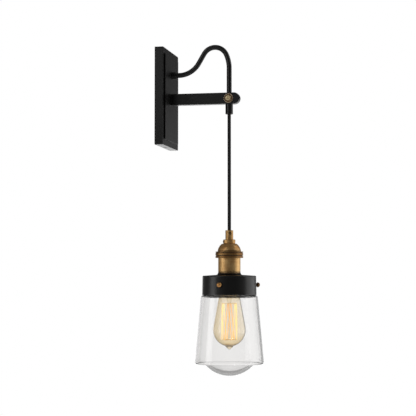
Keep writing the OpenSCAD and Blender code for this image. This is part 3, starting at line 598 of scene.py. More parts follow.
def into_scene(name, data):
    """Object for a mesh, curve, lamp or camera, linked to the scene"""
    made = bpy.data.objects.new(name, data)
    bpy.context.scene.collection.objects.link(made)
    return made


def close_up(bm):
    """Merge the seams and poles of a shape and turn its faces outwards"""
    bmesh.ops.remove_doubles(bm, verts=bm.verts, dist=1e-6)
    bmesh.ops.dissolve_degenerate(bm, edges=bm.edges, dist=1e-7)
    face_outwards(bm)


def turned(outline, place=ON_LINE, edge=None, steps=None):
    """Spin an outline of radii and heights, in millimetres, about the Z of a frame.
    It is open where it starts and ends on the axis, and closed otherwise."""
    bm = bmesh.new()
    verts = [bm.verts.new((r * MM, 0, z * MM)) for r, z in outline]
    on_axis = outline[0][0] == 0 and outline[-1][0] == 0
    pairs = zip(verts, verts[1:] + ([] if on_axis else verts[:1]))
    edges = [bm.edges.new(pair) for pair in pairs]
    sweep(bm, verts + edges, steps or sizes().turn_steps, math.tau, merge=True)
    close_up(bm)
    soften(bm, sizes().edge_round if edge is None else edge)
    bmesh.ops.transform(bm, matrix=place, verts=bm.verts)
    return bm


def hand_over(bm, name, body, slot, look=None, replaced=(), even_shade=True):
    """Make the object of a finished shape, hang it on its body and hide the CAD parts that it
    replaces
    """
    for face in bm.faces:
        face.smooth = True
    mesh = mesh_of(name, bm)
    mesh.set_sharp_from_angle(angle=math.radians(40))
    piece = into_scene(name, mesh)
    mesh.materials.append(finish(look or slot))
    if even_shade:
        shade = piece.modifiers.new("Even Shading", "WEIGHTED_NORMAL")
        shade.keep_sharp = True
    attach(piece, body)
    if replaced:
        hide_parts(*replaced)
    return piece


class Bender:
    """Bends a ring of edges into a rod in the sconce's middle plane, in millimetres"""

    def __init__(self, radius, start, height, sides):
        self.bm = bmesh.new()
        self.at, self.heading = Vector((start, height)), 0.0
        faced = Matrix.Translation(self.point()) @ Matrix.Rotation(math.radians(90), 4, "X")
        ring = bmesh.ops.create_circle(self.bm, cap_ends=False, radius=radius * MM,
                                       segments=sides, matrix=faced)["verts"]
        self.ring = ring + edges_of(ring)

    def point(self):
        return Vector((0, -self.at.x * MM, self.at.y * MM))

    def left(self):
        """Direction at right angles to the heading, upwards when it is level"""
        return Vector((-math.sin(self.heading), math.cos(self.heading)))

    def go(self, centre, angle, step, steps):
        self.ring = sweep(self.bm, self.ring, steps, angle, centre, (1, 0, 0), step)

    def straight(self, length, steps=1):
        way = Vector((math.cos(self.heading), math.sin(self.heading)))
        self.go(self.point(), 0, Vector((0, -way.x, way.y)) * length * MM / steps, steps)
        self.at = self.at + way * length

    def bend(self, radius, turn, steps):
        """Turn by an angle in degrees, upwards when it is positive"""
        turn = math.radians(turn)
        side = math.copysign(1, turn)
        centre = self.at + side * radius * self.left()
        self.go((0, -centre.x * MM, centre.y * MM), -turn, (0, 0, 0), steps)
        self.heading += turn
        self.at = centre - side * radius * self.left()


def gooseneck_line(radius, start, foot, sides):
    """Rod along the gooseneck's line from a distance off the wall to a height"""
    neck_start, up_r, rise, top_r, drop, down_r = 30.8, 41.5, 59.5, 22.8, 66.0, 61.0
    sin_rise, sin_drop = math.sin(math.radians(rise)), math.sin(math.radians(drop))
    run = (REACH - neck_start - up_r * sin_rise - top_r * (sin_rise + sin_drop)
           - down_r * (1 - sin_drop))
    rod = Bender(radius, start, middle("tube_boss", 2), sides)
    rod.straight(neck_start - start)
    rod.bend(up_r, rise, 20)
    rod.straight(run / math.cos(math.radians(rise)))
    rod.bend(top_r, -rise - drop, 40)
    rod.bend(down_r, drop - 90, 16)
    rod.straight(rod.at.y - foot)
    return rod.bm


# ---------------------------------------------------------------- stage

VIEW_AZIMUTH, VIEW_ELEVATION = -78.45, -3.12
CAMERA_AT = Vector((-2.360, -0.566, -0.328))
LENS, SENSOR = 116.8, 36.0
FLOOR_Z, FLOOR_R = -0.86, 2.3
# Degrees to the right of the camera, foot, top, distance and width in metres, and radiance
SOFTBOXES = {
    "left_strip": (-74, -0.9, 0.02, 1.5, 0.65, 1.9),
    "upper_strip": (-53, 0.05, 1.3, 1.5, 0.45, 2.2),
    "right_bank": (103, -0.8, 0.2, 1.4, 1.6, 1.25),
    "high_right": (95, 0.5, 1.3, 1.4, 0.9, 2.4),
    "upper_fill": (-28, 0.1, 0.9, 1.7, 0.5, 0.5),
    "low_spark": (17, -0.85, -0.72, 0.2, 0.13, 9),
}
WHITE = (1, 1, 1, 1)


def camera_back():
    """Direction from the object to the camera"""
    a, e = math.radians(VIEW_AZIMUTH), math.radians(VIEW_ELEVATION)
    return Vector((math.sin(a) * math.cos(e), -math.cos(a) * math.cos(e), math.sin(e)))


def camera_flat():
    """Level directions towards the camera and to its right"""
    back = camera_back()
    flat = Vector((back.x, back.y, 0)).normalized()
    return flat, Vector((-flat.y, flat.x, 0))


def aim(thing, place, way):
    """Put a camera or a lamp at a place, looking along a direction"""
    thing.location = place
    thing.rotation_mode = "QUATERNION"
    thing.rotation_quaternion = way.to_track_quat("-Z", "Y")


def add_camera():
    data = bpy.data.cameras.new("photo_camera")
    data.lens, data.sensor_width = LENS, SENSOR
    data.clip_start, data.clip_end = 0.05, 50
    camera = into_scene("photo_camera", data)
    aim(camera, CAMERA_AT, -camera_back())
    bpy.context.scene.camera = camera


def add_softbox(name, aside, foot, top, distance, width, radiance):
    """Upright area light that faces the hanging line"""
    flat, right = camera_flat()
    turn = math.radians(aside)
    way = (flat * math.cos(turn) + right * math.sin(turn)).normalized()
    data = bpy.data.lights.new(name, "AREA")
    data.shape, data.size, data.size_y = "RECTANGLE", width, top - foot
    data.energy = radiance * math.pi * width * (top - foot)
    lamp = into_scene(name, data)
    aim(lamp, Vector((0, -REACH * MM, (foot + top) / 2)) + way * distance, -way)
    lamp.visible_camera = False


def add_world():
    """White for the camera; a studio that is white behind the object for glass and metal"""
    world = bpy.data.worlds.new("pale_studio")
    bpy.context.scene.world = world
    world.use_nodes = True
    world.node_tree.nodes.clear()
    studio = Nodes(world.node_tree)

    def blend(value, start, stop, from_level, to_level):
        """Level that changes smoothly between two values"""
        made = studio.node("MapRange", {"Value": value, "From Min": start, "From Max": stop,
                                        "To Min": from_level, "To Max": to_level},
                           interpolation_type="SMOOTHSTEP")
        return made.outputs["Result"]

    def lit(level):
        return studio.node("Background", {"Color": WHITE, "Strength": level}).outputs[0]

    def either(which, otherwise, chosen):
        return studio.node("MixShader", {0: which, 1: otherwise, 2: chosen}).outputs[0]

    def along(direction):
        made = studio.node("VectorMath", {0: way, 1: tuple(direction)}, operation="DOT_PRODUCT")
        return made.outputs["Value"]

    def times(a, b):
        return studio.value("MULTIPLY", a, b)

    path = studio.node("LightPath").outputs
    way = studio.node("TexCoord").outputs["Generated"]
    height = studio.node("SeparateXYZ", {"Vector": way}).outputs["Z"]
    ahead, aside = along(-camera_back()), along(camera_flat()[1])
    backdrop = times(blend(ahead, 0.8, 0.98, 0, 1), blend(height, -0.02, 0.14, 1, 0))
    cove = times(blend(height, -0.12, 0, 2, 1), blend(height, -0.4, -0.2, 0.2, 1))
    behind = times(backdrop, cove)
    room = times(blend(ahead, -1, -0.6, 0.065, 0.15), blend(height, 0.08, 0.2, 1, 0.36))
    room = times(room, blend(height, 0.2, 0.4, 1, 3.5))
    in_metal = lit(studio.value("MAXIMUM", room, behind))
    left = times(blend(aside, -0.1, 0.02, 0.74, 1), blend(aside, -0.18, -0.1, 1.2, 1))
    right = times(blend(aside, 0.02, 0.06, 1, 0.96), blend(aside, 0.075, 0.2, 1, 0.56))
    in_glass = lit(times(times(left, right), blend(height, 0.1, 0.5, 1, 0.45)))
    light = either(path["Is Glossy Ray"], lit(0.6), in_metal)
    light = either(path["Is Transmission Ray"], light, in_glass)
    light = either(path["Is Camera Ray"], light, lit(1))
    studio.node("OutputWorld", {"Surface": light})


def add_floor():
    bm = bmesh.new()
    bmesh.ops.create_circle(bm, cap_ends=True, radius=FLOOR_R, segments=96,
                            matrix=Matrix.Translation((0, -REACH * MM, FLOOR_Z)))
    mesh = mesh_of("floor", bm)
    floor = into_scene("floor", mesh)
    pale = Recipe("pale_floor", {"Roughness": 0.8, "Specular IOR Level": 0.1})
    tone = colours().floor
    grain = pale.noise(pale.place(), 40.0, 3.0)
    pale.colour(pale.ramp(grain, [(0.3, shaded(tone, 0.985)), (0.7, tone)]))
    radius, _, _, _ = pale.round_line()
    path = pale.node("LightPath").outputs
    seen = pale.value("ADD", path["Is Camera Ray"], path["Is Glossy Ray"])
    seen = pale.value("ADD", seen, path["Is Transmission Ray"], clamp=True)
    edge = pale.spread(radius, 0.1 * FLOOR_R, 0.9 * FLOOR_R, 0.5, 1.0)
    fade = pale.value("MULTIPLY", seen, edge)
    fade = pale.value("MAXIMUM", fade, pale.value("MULTIPLY", path["Is Glossy Ray"], 0.9))
    level = pale.spread(path["Is Glossy Ray"], 0.0, 1.0, 1.0, 0.45)
    white = pale.node("Emission", {"Color": WHITE, "Strength": level}).outputs[0]
    both = pale.node("MixShader", {0: fade, 1: pale.shader.outputs[0], 2: white}).outputs[0]
    pale.feed(pale.tree.nodes["Material Output"].inputs["Surface"], both)
    mesh.materials.append(pale.material)


class SCONCE_OT_stage(Operator):
    """Add the camera, the studio light and the floor"""
    bl_idname = "sconce.stage"
    bl_label = "Stage"

    def execute(self, context):
        add_camera()
        add_world()
        for name, setting in SOFTBOXES.items():
            add_softbox(name, *setting)
        add_floor()
        context.scene.view_settings.view_transform = "Standard"
        return {"FINISHED"}


# ---------------------------------------------------------------- cords

def wrap_map(bm, turns, pitch):
    """Map around and along the hanging line, in radians of the braid"""
    layer = bm.loops.layers.uv.new("wrap")
    for face in bm.faces:
        angles = [math.atan2(v.co.y + REACH * MM, v.co.x) for v in face.verts]
        for loop, angle in zip(face.loops, angles):
            if max(angles) - min(angles) > math.pi and angle < 0:
                angle += math.tau
            loop[layer].uv = (angle * turns, loop.vert.co.z * math.tau / pitch)


class SCONCE_OT_cord(Operator):
    """Braid the cord that the socket hangs from"""
    bl_idname = "sconce.cord"
    bl_label = "Cord"

    def execute(self, context):
        size = sizes()
        top, foot = top_of("pendant_cord") * MM, foot_of("pendant_cord") * MM
        radius = radius_of("pendant_cord") * MM - size.braid_height / 2
        sides, turns = 48, 4
        steps = round((top - foot) / (size.braid_pitch / 6))
        bm = bmesh.new()
        ring = bmesh.ops.create_circle(bm, cap_ends=False, radius=radius, segments=sides,
                                       matrix=Matrix.Translation((0, -REACH * MM, top)))["verts"]
        sweep(bm, ring + edges_of(ring), steps, step=(0, 0, (foot - top) / steps))
        cap_ends(bm)
        for vert in bm.verts:
            out = Vector((vert.co.x, vert.co.y + REACH * MM, 0)).normalized()
            around_it = math.atan2(out.y, out.x) * turns
            along = vert.co.z * math.tau / size.braid_pitch
            lift = math.sin(around_it + along) * math.sin(around_it - along)
            vert.co += out * size.braid_height * lift / 2
        wrap_map(bm, turns, size.braid_pitch)
        cord = hand_over(bm, "braided_cord", "pendant", "cord", replaced=["pendant_cord"],
                         even_shade=False)
        return {"FINISHED"}


class SCONCE_OT_supply_lead(Operator):
    """Run the supply lead through the gooseneck"""
    bl_idname = "sconce.supply_lead"
    bl_label = "Supply Lead"

    def execute(self, context):
        bm = gooseneck_line(radius_of("supply_cable"), -high("supply_cable", 1),
                            foot_of("supply_cable"), 24)
        cap_ends(bm)
        hand_over(bm, "supply_lead", "fixture", "cord", "phenolic", ["supply_cable"],
                  even_shade=False)
        return {"FINISHED"}


# ---------------------------------------------------------------- fixture

class SCONCE_OT_backplate(Operator):
    """Press the backplate with its border and raised panel"""
    bl_idname = "sconce.backplate"
    bl_label = "Backplate"

    def execute(self, context):
        size = sizes()
        border, rise = PLATE_BORDER * MM, Vector((0, PANEL_RISE * MM, 0))
        lo, hi = (Vector(corner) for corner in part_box("backplate_pan"))
        bm = block(lo + rise, hi)
        for side in (-1, 1):
            self.cut_hole(bm, side)
        wall_side = [f for f in bm.faces if f.normal.y > 0.9]
        panel = [f for f in bm.faces if f.normal.y < -0.9]
        bmesh.ops.delete(bm, geom=wall_side, context="FACES")
        bmesh.ops.inset_region(bm, faces=panel, thickness=border, use_even_offset=True)
        raised = bmesh.ops.extrude_face_region(bm, geom=panel)
        bmesh.ops.delete(bm, geom=panel, context="FACES_ONLY")
        bmesh.ops.translate(bm, vec=-rise,
                            verts=[v for v in raised["geom"] if isinstance(v, bmesh.types.BMVert)])
        face_outwards(bm)
        corners = [e for e in bm.edges if e.is_manifold and e.calc_face_angle(0) > 0.5
                   and abs((e.verts[0].co - e.verts[1].co).normalized().y) > 0.9]
        bevel(bm, corners, size.plate_corner, 6)
        soften(bm, size.plate_edge, 3, 60)
        face_outwards(bm)
        bmesh.ops.solidify(bm, geom=bm.faces[:], thickness=size.plate_sheet)
        hand_over(bm, "backplate", "fixture", "black_metal", "pressed_black", ["backplate_pan"])
        return {"FINISHED"}

    def cut_hole(self, bm, side):
        """Round hole in the upper or lower rim, around the flush head of its screw"""
        play = 0.05
        radius = (radius_of("pan_screws") + play) * MM
        centre = Vector((0, middle("pan_screws", 1) * MM, side * top_of("backplate_pan") * MM))
        reach = radius + 0.001
        for way in (Vector((1, 0, 0)), Vector((0, 1, 0))):
            for end in (-reach, reach):
                rim = [f for f in bm.faces if f.normal.z * side > 0.9]
                around_rim = {e for f in rim for e in f.edges} | {v for f in rim for v in f.verts}
                bmesh.ops.bisect_plane(bm, geom=rim + list(around_rim), dist=1e-7,
                                       plane_co=centre + way * end, plane_no=way)
        patch = [f for f in bm.faces if f.normal.z * side > 0.9
                 and (f.calc_center_median() - centre).length < radius]
        edges = [e for f in patch for e in f.edges]
        bmesh.ops.delete(bm, geom=patch, context="FACES_ONLY")
        square = bmesh.ops.subdivide_edges(bm, edges=edges, cuts=5)["geom_split"]
        square = [e for e in square if isinstance(e, bmesh.types.BMEdge)]
        ring = bmesh.ops.create_circle(bm, cap_ends=False, radius=radius, segments=len(square),
                                       matrix=Matrix.Translation(centre))["verts"]
        bmesh.ops.bridge_loops(bm, edges=square + edges_of(ring))


class SCONCE_OT_fixings(Operator):
    """Finish the strap, the nuts and the screws behind and around the backplate"""
    bl_idname = "sconce.fixings"
    bl_label = "Strap and Screws"

    def execute(self, context):
        finish_nodes("steel", "mounting_strap", "boss_nut", "arm_screws", "holder_nut",
                     "weld_nuts")
        finish_nodes("black_metal", "pan_screws")
        finish_nodes("green_screw", "ground_screw")
        return {"FINISHED"}


class SCONCE_OT_gooseneck(Operator):
    """Bend the gooseneck tube and turn the boss that it enters"""
    bl_idname = "sconce.gooseneck"
    bl_label = "Gooseneck Tube"

    def execute(self, context):
        radius = radius_of("gooseneck_tube")
        bm = gooseneck_line(radius, -high("gooseneck_tube", 1), foot_of("gooseneck_tube"), 48)
        face_outwards(bm)
        bmesh.ops.solidify(bm, geom=bm.faces[:], thickness=MM)
        hand_over(bm, "gooseneck", "fixture", "black_metal", replaced=["gooseneck_tube"],
                  even_shade=False)
        panel, back, front = -low("backplate_pan", 1), -high("tube_boss", 1), -low("tube_boss", 1)
        boss_r, thread_r, bore_r = radius_of("tube_boss"), radius + 1.05, radius + 0.05
        boss = turned([(bore_r, back), (thread_r, back), (thread_r, panel), (boss_r, panel),
                       (boss_r, front), (bore_r, front)],
                      off_wall(0, middle("tube_boss", 2)), 0.0006)
        hand_over(boss, "boss", "fixture", "black_metal", replaced=["tube_boss"])
        return {"FINISHED"}


class SCONCE_OT_arm(Operator):
    """Cut and round the flat arm"""
    bl_idname = "sconce.arm"
    bl_label = "Arm"

    def execute(self, context):
        lo, hi = (Vector(corner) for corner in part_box("arm_bar"))
        bm, nearly_half = block(lo, hi), 0.4999
        tip = [e for e in bm.edges if all(abs(v.co.y - lo.y) < 1e-6 for v in e.verts)
               and abs(e.verts[0].co.x - e.verts[1].co.x) > 1e-6]
        bevel(bm, tip, (hi.z - lo.z) * nearly_half, 14)
        bmesh.ops.remove_doubles(bm, verts=bm.verts, dist=2e-5)
        long_edges = [e for e in bm.edges if e.calc_face_angle(0) > 1.0
                      and not all(abs(v.co.y - hi.y) < 1e-6 for v in e.verts)]
        bevel(bm, long_edges, sizes().arm_edge, 4)
        hand_over(bm, "flat_arm", "fixture", "black_metal", replaced=["arm_bar"])
        return {"FINISHED"}


class SCONCE_OT_knob(Operator):
    """Turn the washer, the dark ring and the brass screw of the knob on the arm"""
    bl_idname = "sconce.knob"
    bl_label = "Knob"

    def execute(self, context):
        place = on_arm(middle("knob_washer", 2))
        arm, face = -low("arm_bar", 0), -low("knob_disc", 0)
        washer_r, bore = wide("knob_washer", 1) / 2, 2.1
        washer = turned([(bore, arm), (washer_r, arm), (washer_r, -low("knob_washer", 0)),
                         (bore, -low("knob_washer", 0))], place, 0.00025)
        hand_over(washer, "knob_washer_ring", "fixture", "bronze_washer", replaced=["knob_washer"])
        ring_r, back, seat_r = wide("knob_disc", 1) / 2, -high("knob_disc", 0), 4.95
        chamfer, seat = 0.8, face - 0.6
        ring = turned([(bore, back), (ring_r, back), (ring_r, face - chamfer),
                       (ring_r - chamfer, face), (seat_r + 0.5, face), (seat_r, face - 0.5),
                       (seat_r, seat), (bore, seat)], place, 0.0002)
        hand_over(ring, "knob_dark_ring", "knob", "knob_ring", replaced=["knob_disc"])
        top, tip, head_r = -low("knob_screw", 0), -high("knob_screw", 0), wide("knob_screw", 1) / 2
        shank_r, rim = 2, 0.9
        head = turned([(0, tip), (shank_r, tip), (shank_r, seat), (head_r, seat)]
                      + arc((head_r - rim, top - rim), rim, 0, 80, 5)
                      + [(1.9, top), (1.5, top - 0.5), (0.8, top - 0.95), (0, top - 1)],
                      place, 0.00012)
        hand_over(head, "knob_brass_screw", "knob", "brass", "knob_brass", ["knob_screw"])
        return {"FINISHED"}


class SCONCE_OT_ferrule(Operator):
    """Turn the ferrule under the arm, and the ball and washer that the cord hangs from"""
    bl_idname = "sconce.ferrule"
    bl_label = "Ferrule and Swivel"

    def execute(self, context):
        arm, foot, top = foot_of("arm_bar"), foot_of("ferrule"), top_of("ferrule")
        out_r, neck_r, ball_r = radius_of("ferrule"), 4.8, radius_of("swivel_ball")
        ball_lift, play, washer_room, bore = 2.5, 0.35, 1.35, 3.2
        ball_z, seat_r = foot + ball_lift, ball_r + play
        chamber = ball_z + seat_r + washer_room
        mouth = math.degrees(math.asin((ball_z - foot) / seat_r))
        ferrule = turned([(bore, chamber), (bore, top), (neck_r, top), (neck_r, arm), (out_r, arm),
                          (out_r, foot)] + arc((0, ball_z), seat_r, -mouth, 0, 6)
                         + [(seat_r, chamber)], edge=0.0004)
        hand_over(ferrule, "cord_ferrule", "fixture", "black_metal", replaced=["ferrule"])
        cut = -math.degrees(math.asin((ball_z - foot_of("swivel_ball")) / ball_r))
        hole = radius_of("pendant_cord") + 0.15
        rest = math.degrees(math.acos(hole / ball_r))
        ball = turned([(hole, top_of("swivel_ball") - 0.3), (hole, foot_of("swivel_ball"))]
                      + arc((0, ball_z), ball_r, cut, rest, 18), edge=0.0001)
        hand_over(ball, "brass_ball", "ball", "brass", "ball_brass", ["swivel_ball"])
        finish_nodes("steel", "swivel_washer")
        return {"FINISHED"}


# ---------------------------------------------------------------- socket

class SCONCE_OT_socket(Operator):
    """Turn the cord grip, neck ring, dome, ribbed ring and shell of the brass socket"""
    bl_idname = "sconce.socket"
    bl_label = "Brass Socket"

    def execute(self, context):
        grip_top, tail = top_of("cord_grip"), foot_of("cord_grip")
        grip_foot, neck_foot = top_of("neck_ring"), foot_of("neck_ring")
        grip_r, nipple_r, wire_r = radius_of("cord_grip"), 4.75, 2.3
        cord_r, cord_foot = radius_of("pendant_cord") + 0.15, foot_of("pendant_cord")
        grip = turned([(cord_r, cord_foot), (cord_r, grip_top), (grip_r, grip_top),
                       (grip_r, grip_foot), (nipple_r, grip_foot), (nipple_r, tail),
                       (wire_r, tail), (wire_r, cord_foot)], edge=0.0005)
        hand_over(grip, "brass_cord_grip", "pendant", "brass", "grip_brass", ["cord_grip"])
        neck_r, bore = radius_of("neck_ring"), nipple_r + 0.05
        neck = turned([(bore, neck_foot), (neck_r, neck_foot), (neck_r, grip_foot),
                       (bore, grip_foot)], edge=0.0009)
        hand_over(neck, "brass_neck_ring", "pendant", "brass", "neck_brass", ["neck_ring"])
        self.make_dome(bore, neck_foot)
        self.make_ribs()
        self.make_shell()
        finish_nodes("dark_screw", "grip_screw", "neck_screw")
        return {"FINISHED"}

    def make_dome(self, bore, top):
        """Domed cap between the neck ring and the ribbed ring"""
        foot, rim_r, crown_r, sheet, bulge = foot_of("socket_cap"), 20.8, 13.0, 0.9, 25.0
        start, stop = Vector((crown_r, top)), Vector((rim_r, foot))
        chord = stop - start
        radius = chord.length / (2 * math.sin(math.radians(bulge)))
        way = chord.normalized()
        centre = ((start + stop) / 2
                  + radius * math.cos(math.radians(bulge)) * Vector((way.y, -way.x)))
        from_, to = (math.degrees(math.atan2(*(p - centre).yx)) for p in (start, stop))
        outer = arc(centre, radius, from_, to, 16)
        inner = [(r, min(max(z, foot), top - sheet))
                 for r, z in arc(centre, radius - sheet, to, from_, 16)]
        dome = turned([(bore, top)] + outer + inner + [(bore, top - sheet)], edge=0.0003)
        hand_over(dome, "brass_dome", "pendant", "brass", "dome_brass", ["socket_cap"])

    def make_ribs(self):
        """Ring with three ribs and two grooves"""
        top, foot, out_r = top_of("ribbed_ring"), foot_of("ribbed_ring"), radius_of("ribbed_ring")
        tall, bore = top - foot, 19.85
        groove_r, round_r = out_r - tall / 10, 0.5
        rib_spans = (0, 0.15), (0.24, 0.62), (0.72, 1)
        outline = [(bore, top)]
        for start, stop in rib_spans:
            upper, lower = top - start * tall, top - stop * tall
            r = min(round_r, (upper - lower) / 2.4)
            outline += [(groove_r, upper)] if start else []
            outline += arc((out_r - r, upper - r), r, 90, 0, 4)
            outline += arc((out_r - r, lower + r), r, 0, -90, 4)
            outline += [(groove_r, lower)] if stop < 1 else []
        ribs = turned(outline + [(bore, foot)], edge=0.0001)
        hand_over(ribs, "brass_ribbed_ring", "pendant", "brass", "rib_brass", ["ribbed_ring"])

    def make_shell(self):
        """Brushed tube of the socket with its small flare"""
        top, foot = top_of("socket_shell"), foot_of("socket_shell")
        flare_r, sheet, flare, curve_r = radius_of("socket_shell"), 0.9, 0.8, 2.5
        out_r = flare_r - flare
        shell = turned([(out_r - sheet, top), (out_r, top)]
                       + arc((out_r + curve_r, foot + 2.4), curve_r, 180, 227, 5)
                       + [(flare_r, foot), (out_r - sheet, foot)], edge=0.0002)
        hand_over(shell, "brass_shell", "pendant", "brass", "shell_brass", ["socket_shell"])


class SCONCE_OT_lampholder(Operator):
    """Finish the insulating core, its liner, contacts and screws inside the socket"""
    bl_idname = "sconce.lampholder"
    bl_label = "Lampholder"

    def execute(self, context):
        finish_nodes("fibre", "shell_liner")
        finish_nodes("phenolic", "lampholder_core", "bulb_insulator")
        finish_nodes("core_brass", "contact_shell", "centre_contact", "terminal_screws")
        return {"FINISHED"}


class SCONCE_OT_shade_holder(Operator):
    """Spin the black shade holder and turn its three thumb screws"""
    bl_idname = "sconce.shade_holder"
    bl_label = "Shade Holder"

    def execute(self, context):
        crown, foot = top_of("shade_holder"), foot_of("shade_holder")
        out_r, sheet, edge_r, bore = radius_of("shade_holder"), 1.6, 2.2, 17.05
        boss_h, draft, boss_r = 3.6, 0.6, 20.7
        shoulder, top_r = crown - boss_h, out_r - draft
        under, nut_r = top_of("holder_nut"), radius_of("holder_nut")
        corner = (top_r - edge_r, shoulder - edge_r)
        outline = ([(bore, crown), (boss_r, crown)]
                   + arc((boss_r + 3.2, crown + 1.4), 3.6, 208, 262, 8)
                   + arc(corner, edge_r, 88, 0, 8) + [(out_r, foot), (out_r - sheet, foot)]
                   + arc(corner, edge_r - sheet, 0, 88, 4) + [(nut_r + 0.4, under), (bore, under)])
        holder = turned(outline, edge=0.0004, steps=128)
        hand_over(holder, "black_shade_holder", "pendant", "black_metal", "holder_black",
                  ["shade_holder"])
        screw_angles = 170, 290, 50
        for index, angle in enumerate(screw_angles, 1):
            self.make_screw(index, angle, out_r)
        return {"FINISHED"}

    def make_screw(self, index, angle, side_r):
        """Thumb screw with a short neck and a ball head"""
        head_r, shank_r, tip, chamfer = 4.5, 2.0, 41.2, 0.5
        seat, rim, rim_r, neck_r = side_r + 0.35, side_r + 1.6, 0.8, 3.0
        height = middle("shade_screw_%d" % index, 2)
        outline = ([(0, tip), (shank_r - chamfer, tip), (shank_r, tip + chamfer),
                    (shank_r, seat), (neck_r, seat), (neck_r, rim)]
                   + arc((head_r - rim_r, rim + rim_r), rim_r, -90, 0, 5)
                   + arc((0, rim + rim_r), head_r, 3, 87, 14)[:-1]
                   + [(0, rim + rim_r + head_r)])
        screw = turned(outline, around(angle, height), 0.0001, 48)
        # The first screw takes the painted lighter copy of the brass, the others the painted
        # shaded copy
        look = "thumb_screw" if index == 1 else "shaded_copy_thumb_screw"
        hand_over(screw, "brass_thumb_screw_%d" % index, "screw_%d" % index, "thumb_screw", look,
                  ["shade_screw_%d" % index], even_shade=False)


# ---------------------------------------------------------------- glass and bulb

class SCONCE_OT_glass_shade(Operator):
    """Blow the clear shade with its shoulder, flared wall, rolled rim and domed base"""
    bl_idname = "sconce.glass_shade"
    bl_label = "Glass Shade"

    def execute(self, context):
        wall, base_wall, neck_r = 2.8, 0.9, 41.0
        foot, top, rim_r = foot_of("glass_shade"), top_of("glass_shade"), radius_of("glass_shade")
        dome_h, dome_rim_r, shoulder_r, gap = 20.8, 44.0, 50.8, 0.2
        base, shoulder = foot + dome_h, foot_of("shade_holder") - gap
        fillet, round_r, rim_round = 3.0, 5.5, 4.0
        shoulder_c = shoulder_r - round_r, shoulder - round_r
        rim_c = rim_r - rim_round, base + rim_round
        lean = math.degrees(math.atan((rim_c[0] + rim_round - shoulder_c[0] - round_r)
                                      / (shoulder_c[1] - rim_c[1])))
        dome_r = (dome_rim_r ** 2 + dome_h ** 2) / (2 * dome_h)
        dome_c = foot + dome_r

        def side(inset, lift):
            """Outline of the outer or inner face, set in by the wall and lifted off the base"""
            start = -math.degrees(math.asin((dome_c - base - lift) / (dome_r - inset)))
            corner = (rim_c[0], base + lift + rim_round - inset)
            return ([(neck_r - inset, shoulder + fillet)]
                    + arc((neck_r + fillet, shoulder + fillet), fillet + inset, 180, 270, 8)
                    + arc(shoulder_c, round_r - inset, 90, lean, 14)
                    + arc(corner, rim_round - inset, lean, -90, 14)
                    + arc((0, dome_c), dome_r - inset, start, -90, 30)[:-1]
                    + [(0, dome_c - dome_r + inset)])

        lip_r, lip_foot = neck_r + 1.6, top - 4
        lip = [(neck_r - wall, top), (lip_r - 1, top)] + arc((lip_r - 1, top - 1), 1, 90, 0, 5)
        lip += [(lip_r, lip_foot + 1.6), (neck_r, lip_foot)]
        outline = list(reversed(side(wall, base_wall))) + lip + side(0, 0)
        glass = turned(outline, edge=0.0003, steps=128)
        hand_over(glass, "clear_glass_shade", "pendant", "clear_glass", replaced=["glass_shade"],
                  even_shade=False)
        return {"FINISHED"}


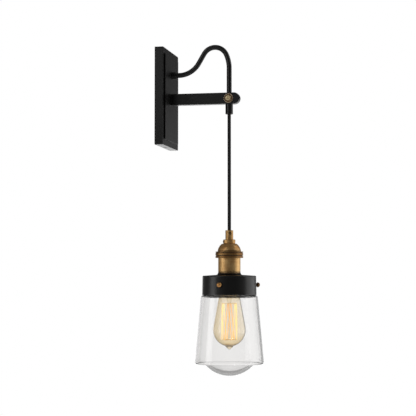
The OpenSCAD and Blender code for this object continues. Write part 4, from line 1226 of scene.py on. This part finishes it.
class SCONCE_OT_bulb(Operator):
    """Make the lit bulb: amber glass, base, stem, hooks and glowing filament"""
    bl_idname = "sconce.bulb"
    bl_label = "Bulb"

    def execute(self, context):
        self.make_glass()
        self.make_stem()
        self.make_filament()
        finish_nodes("bulb_metal", "bulb_base", "bulb_contact")
        # The support hooks take a painted glow
        finish_nodes("painted_glow_hooks", "filament_supports")
        return {"FINISHED"}

    def make_glass(self):
        """Pear-shaped envelope with its sealed tip"""
        tip, bulb_r, base_r = foot_of("bulb_glass"), radius_of("bulb_glass"), 13.15
        base_foot, wall, nub_h, nub_r = foot_of("bulb_base"), 0.8, 5.6, 7.5
        centre, throat_r = tip + nub_h + bulb_r, 18.0
        throat = (base_r - 0.9, base_foot - (throat_r - base_r + 0.9) - 0.2)
        flare = throat_r - throat[0]
        drop = math.hypot(throat[0], throat[1] - centre)
        touch = math.degrees(math.atan2(throat[1] - centre, throat[0])
                             - math.acos((bulb_r - flare) / drop))

        def side(inset, last):
            """Outline of the outer or inner face, down to an angle of the sphere"""
            return ([(throat[0] - inset, base_foot + 5), (throat[0] - inset, throat[1] + flare)]
                    + arc(throat, flare - inset, 80, touch, 12)
                    + arc((0, centre), bulb_r - inset, touch, last, 36))

        leave = -math.degrees(math.acos(nub_r / bulb_r))
        nub = [(0.72 * nub_r, tip + 0.72 * nub_h), (0.46 * nub_r, tip + 0.44 * nub_h),
               (0.3 * nub_r, tip + 0.2 * nub_h), (0.14 * nub_r, tip + 0.04 * nub_h), (0, tip)]
        inner = side(wall, -90)[:-1] + [(0, centre - bulb_r + wall)]
        glass = turned(list(reversed(inner)) + side(0, leave) + nub, edge=0.0001)
        hand_over(glass, "amber_bulb", "bulb", "amber_glass", replaced=["bulb_glass"],
                  even_shade=False)

    def make_stem(self):
        """Glass stem that carries the filament"""
        top, foot = top_of("bulb_stem"), foot_of("bulb_stem")
        base_foot, hooks = foot_of("bulb_base"), top_of("filament_supports") - 0.4
        flare_r, rod_r = radius_of("bulb_stem"), 1.2
        stem = turned([(0, top), (flare_r, top), (flare_r, base_foot), (5, base_foot - 8),
                       (4, hooks + 4), (2.4, hooks + 1.6), (rod_r, hooks + 0.8),
                       (rod_r, foot + 1.2), (1.0, foot + 0.4), (0, foot)], edge=0.0004, steps=48)
        hand_over(stem, "glass_stem", "bulb", "clear_glass", "stem_glass", ["bulb_stem"],
                  even_shade=False)

    def make_filament(self):
        """One glowing wire that zigzags round the cage between the hooks"""
        strands, cage_r = 12, 13.5
        top, foot = top_of("filament") - 0.2, foot_of("filament") + 0.2
        data = bpy.data.curves.new("glowing_filament", "CURVE")
        data.dimensions, data.bevel_depth, data.bevel_resolution = "3D", sizes().filament_wire, 3
        data.use_fill_caps, data.resolution_u, data.render_resolution_u = True, 4, 4
        points = []
        for i in range(strands):
            ends = [(i + 0.1, top), (i + 0.9, foot)]
            start, stop = ends if i % 2 == 0 else [(i + 0.1, foot), (i + 0.9, top)]
            for step in range(9):
                t = step / 8
                turn = math.tau * (start[0] + (stop[0] - start[0]) * t) / strands
                bow = cage_r - 0.25 + 0.25 * math.sin(math.pi * t)
                points.append((bow * math.cos(turn) * MM, (bow * math.sin(turn) - REACH) * MM,
                               (start[1] + (stop[1] - start[1]) * t) * MM, 1))
        spline = data.splines.new("NURBS")
        spline.points.add(len(points) - 1)
        for knot, point in zip(spline.points, points):
            knot.co = point
        spline.order_u, spline.use_endpoint_u = 3, True
        wire = into_scene("glowing_filament", data)
        data.materials.append(finish("filament"))
        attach(wire, "bulb")
        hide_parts("filament")


# ---------------------------------------------------------------- panel and run

STEPS = (
    SCONCE_OT_stage, SCONCE_OT_cord, SCONCE_OT_supply_lead, SCONCE_OT_backplate,
    SCONCE_OT_fixings, SCONCE_OT_gooseneck, SCONCE_OT_arm, SCONCE_OT_knob, SCONCE_OT_ferrule,
    SCONCE_OT_socket, SCONCE_OT_lampholder, SCONCE_OT_shade_holder, SCONCE_OT_glass_shade,
    SCONCE_OT_bulb)


class SCONCE_PT_panel(Panel):
    """Sizes, colours and steps of the wall sconce"""
    bl_idname = "SCONCE_PT_panel"
    bl_label = "Wall Sconce"
    bl_space_type = "VIEW_3D"
    bl_region_type = "UI"
    bl_category = "Sconce"

    def draw(self, context):
        for group in (context.scene.sconce_sizes, context.scene.sconce_colours):
            box = self.layout.box()
            for name in group.__annotations__:
                box.prop(group, name)
        column = self.layout.column(align=True)
        for step in STEPS:
            column.operator(step.bl_idname)


CLASSES = (SconceSizes, SconceColours, *STEPS, SCONCE_PT_panel)


def register():
    for item in CLASSES:
        bpy.utils.register_class(item)
    bpy.types.Scene.sconce_sizes = PointerProperty(type=SconceSizes)
    bpy.types.Scene.sconce_colours = PointerProperty(type=SconceColours)


def unregister():
    del bpy.types.Scene.sconce_colours
    del bpy.types.Scene.sconce_sizes
    for item in reversed(CLASSES):
        bpy.utils.unregister_class(item)


def main():
    register()
    for step in STEPS:
        group, name = step.bl_idname.split(".")
        getattr(getattr(bpy.ops, group), name)()


if __name__ == "__main__":
    main()
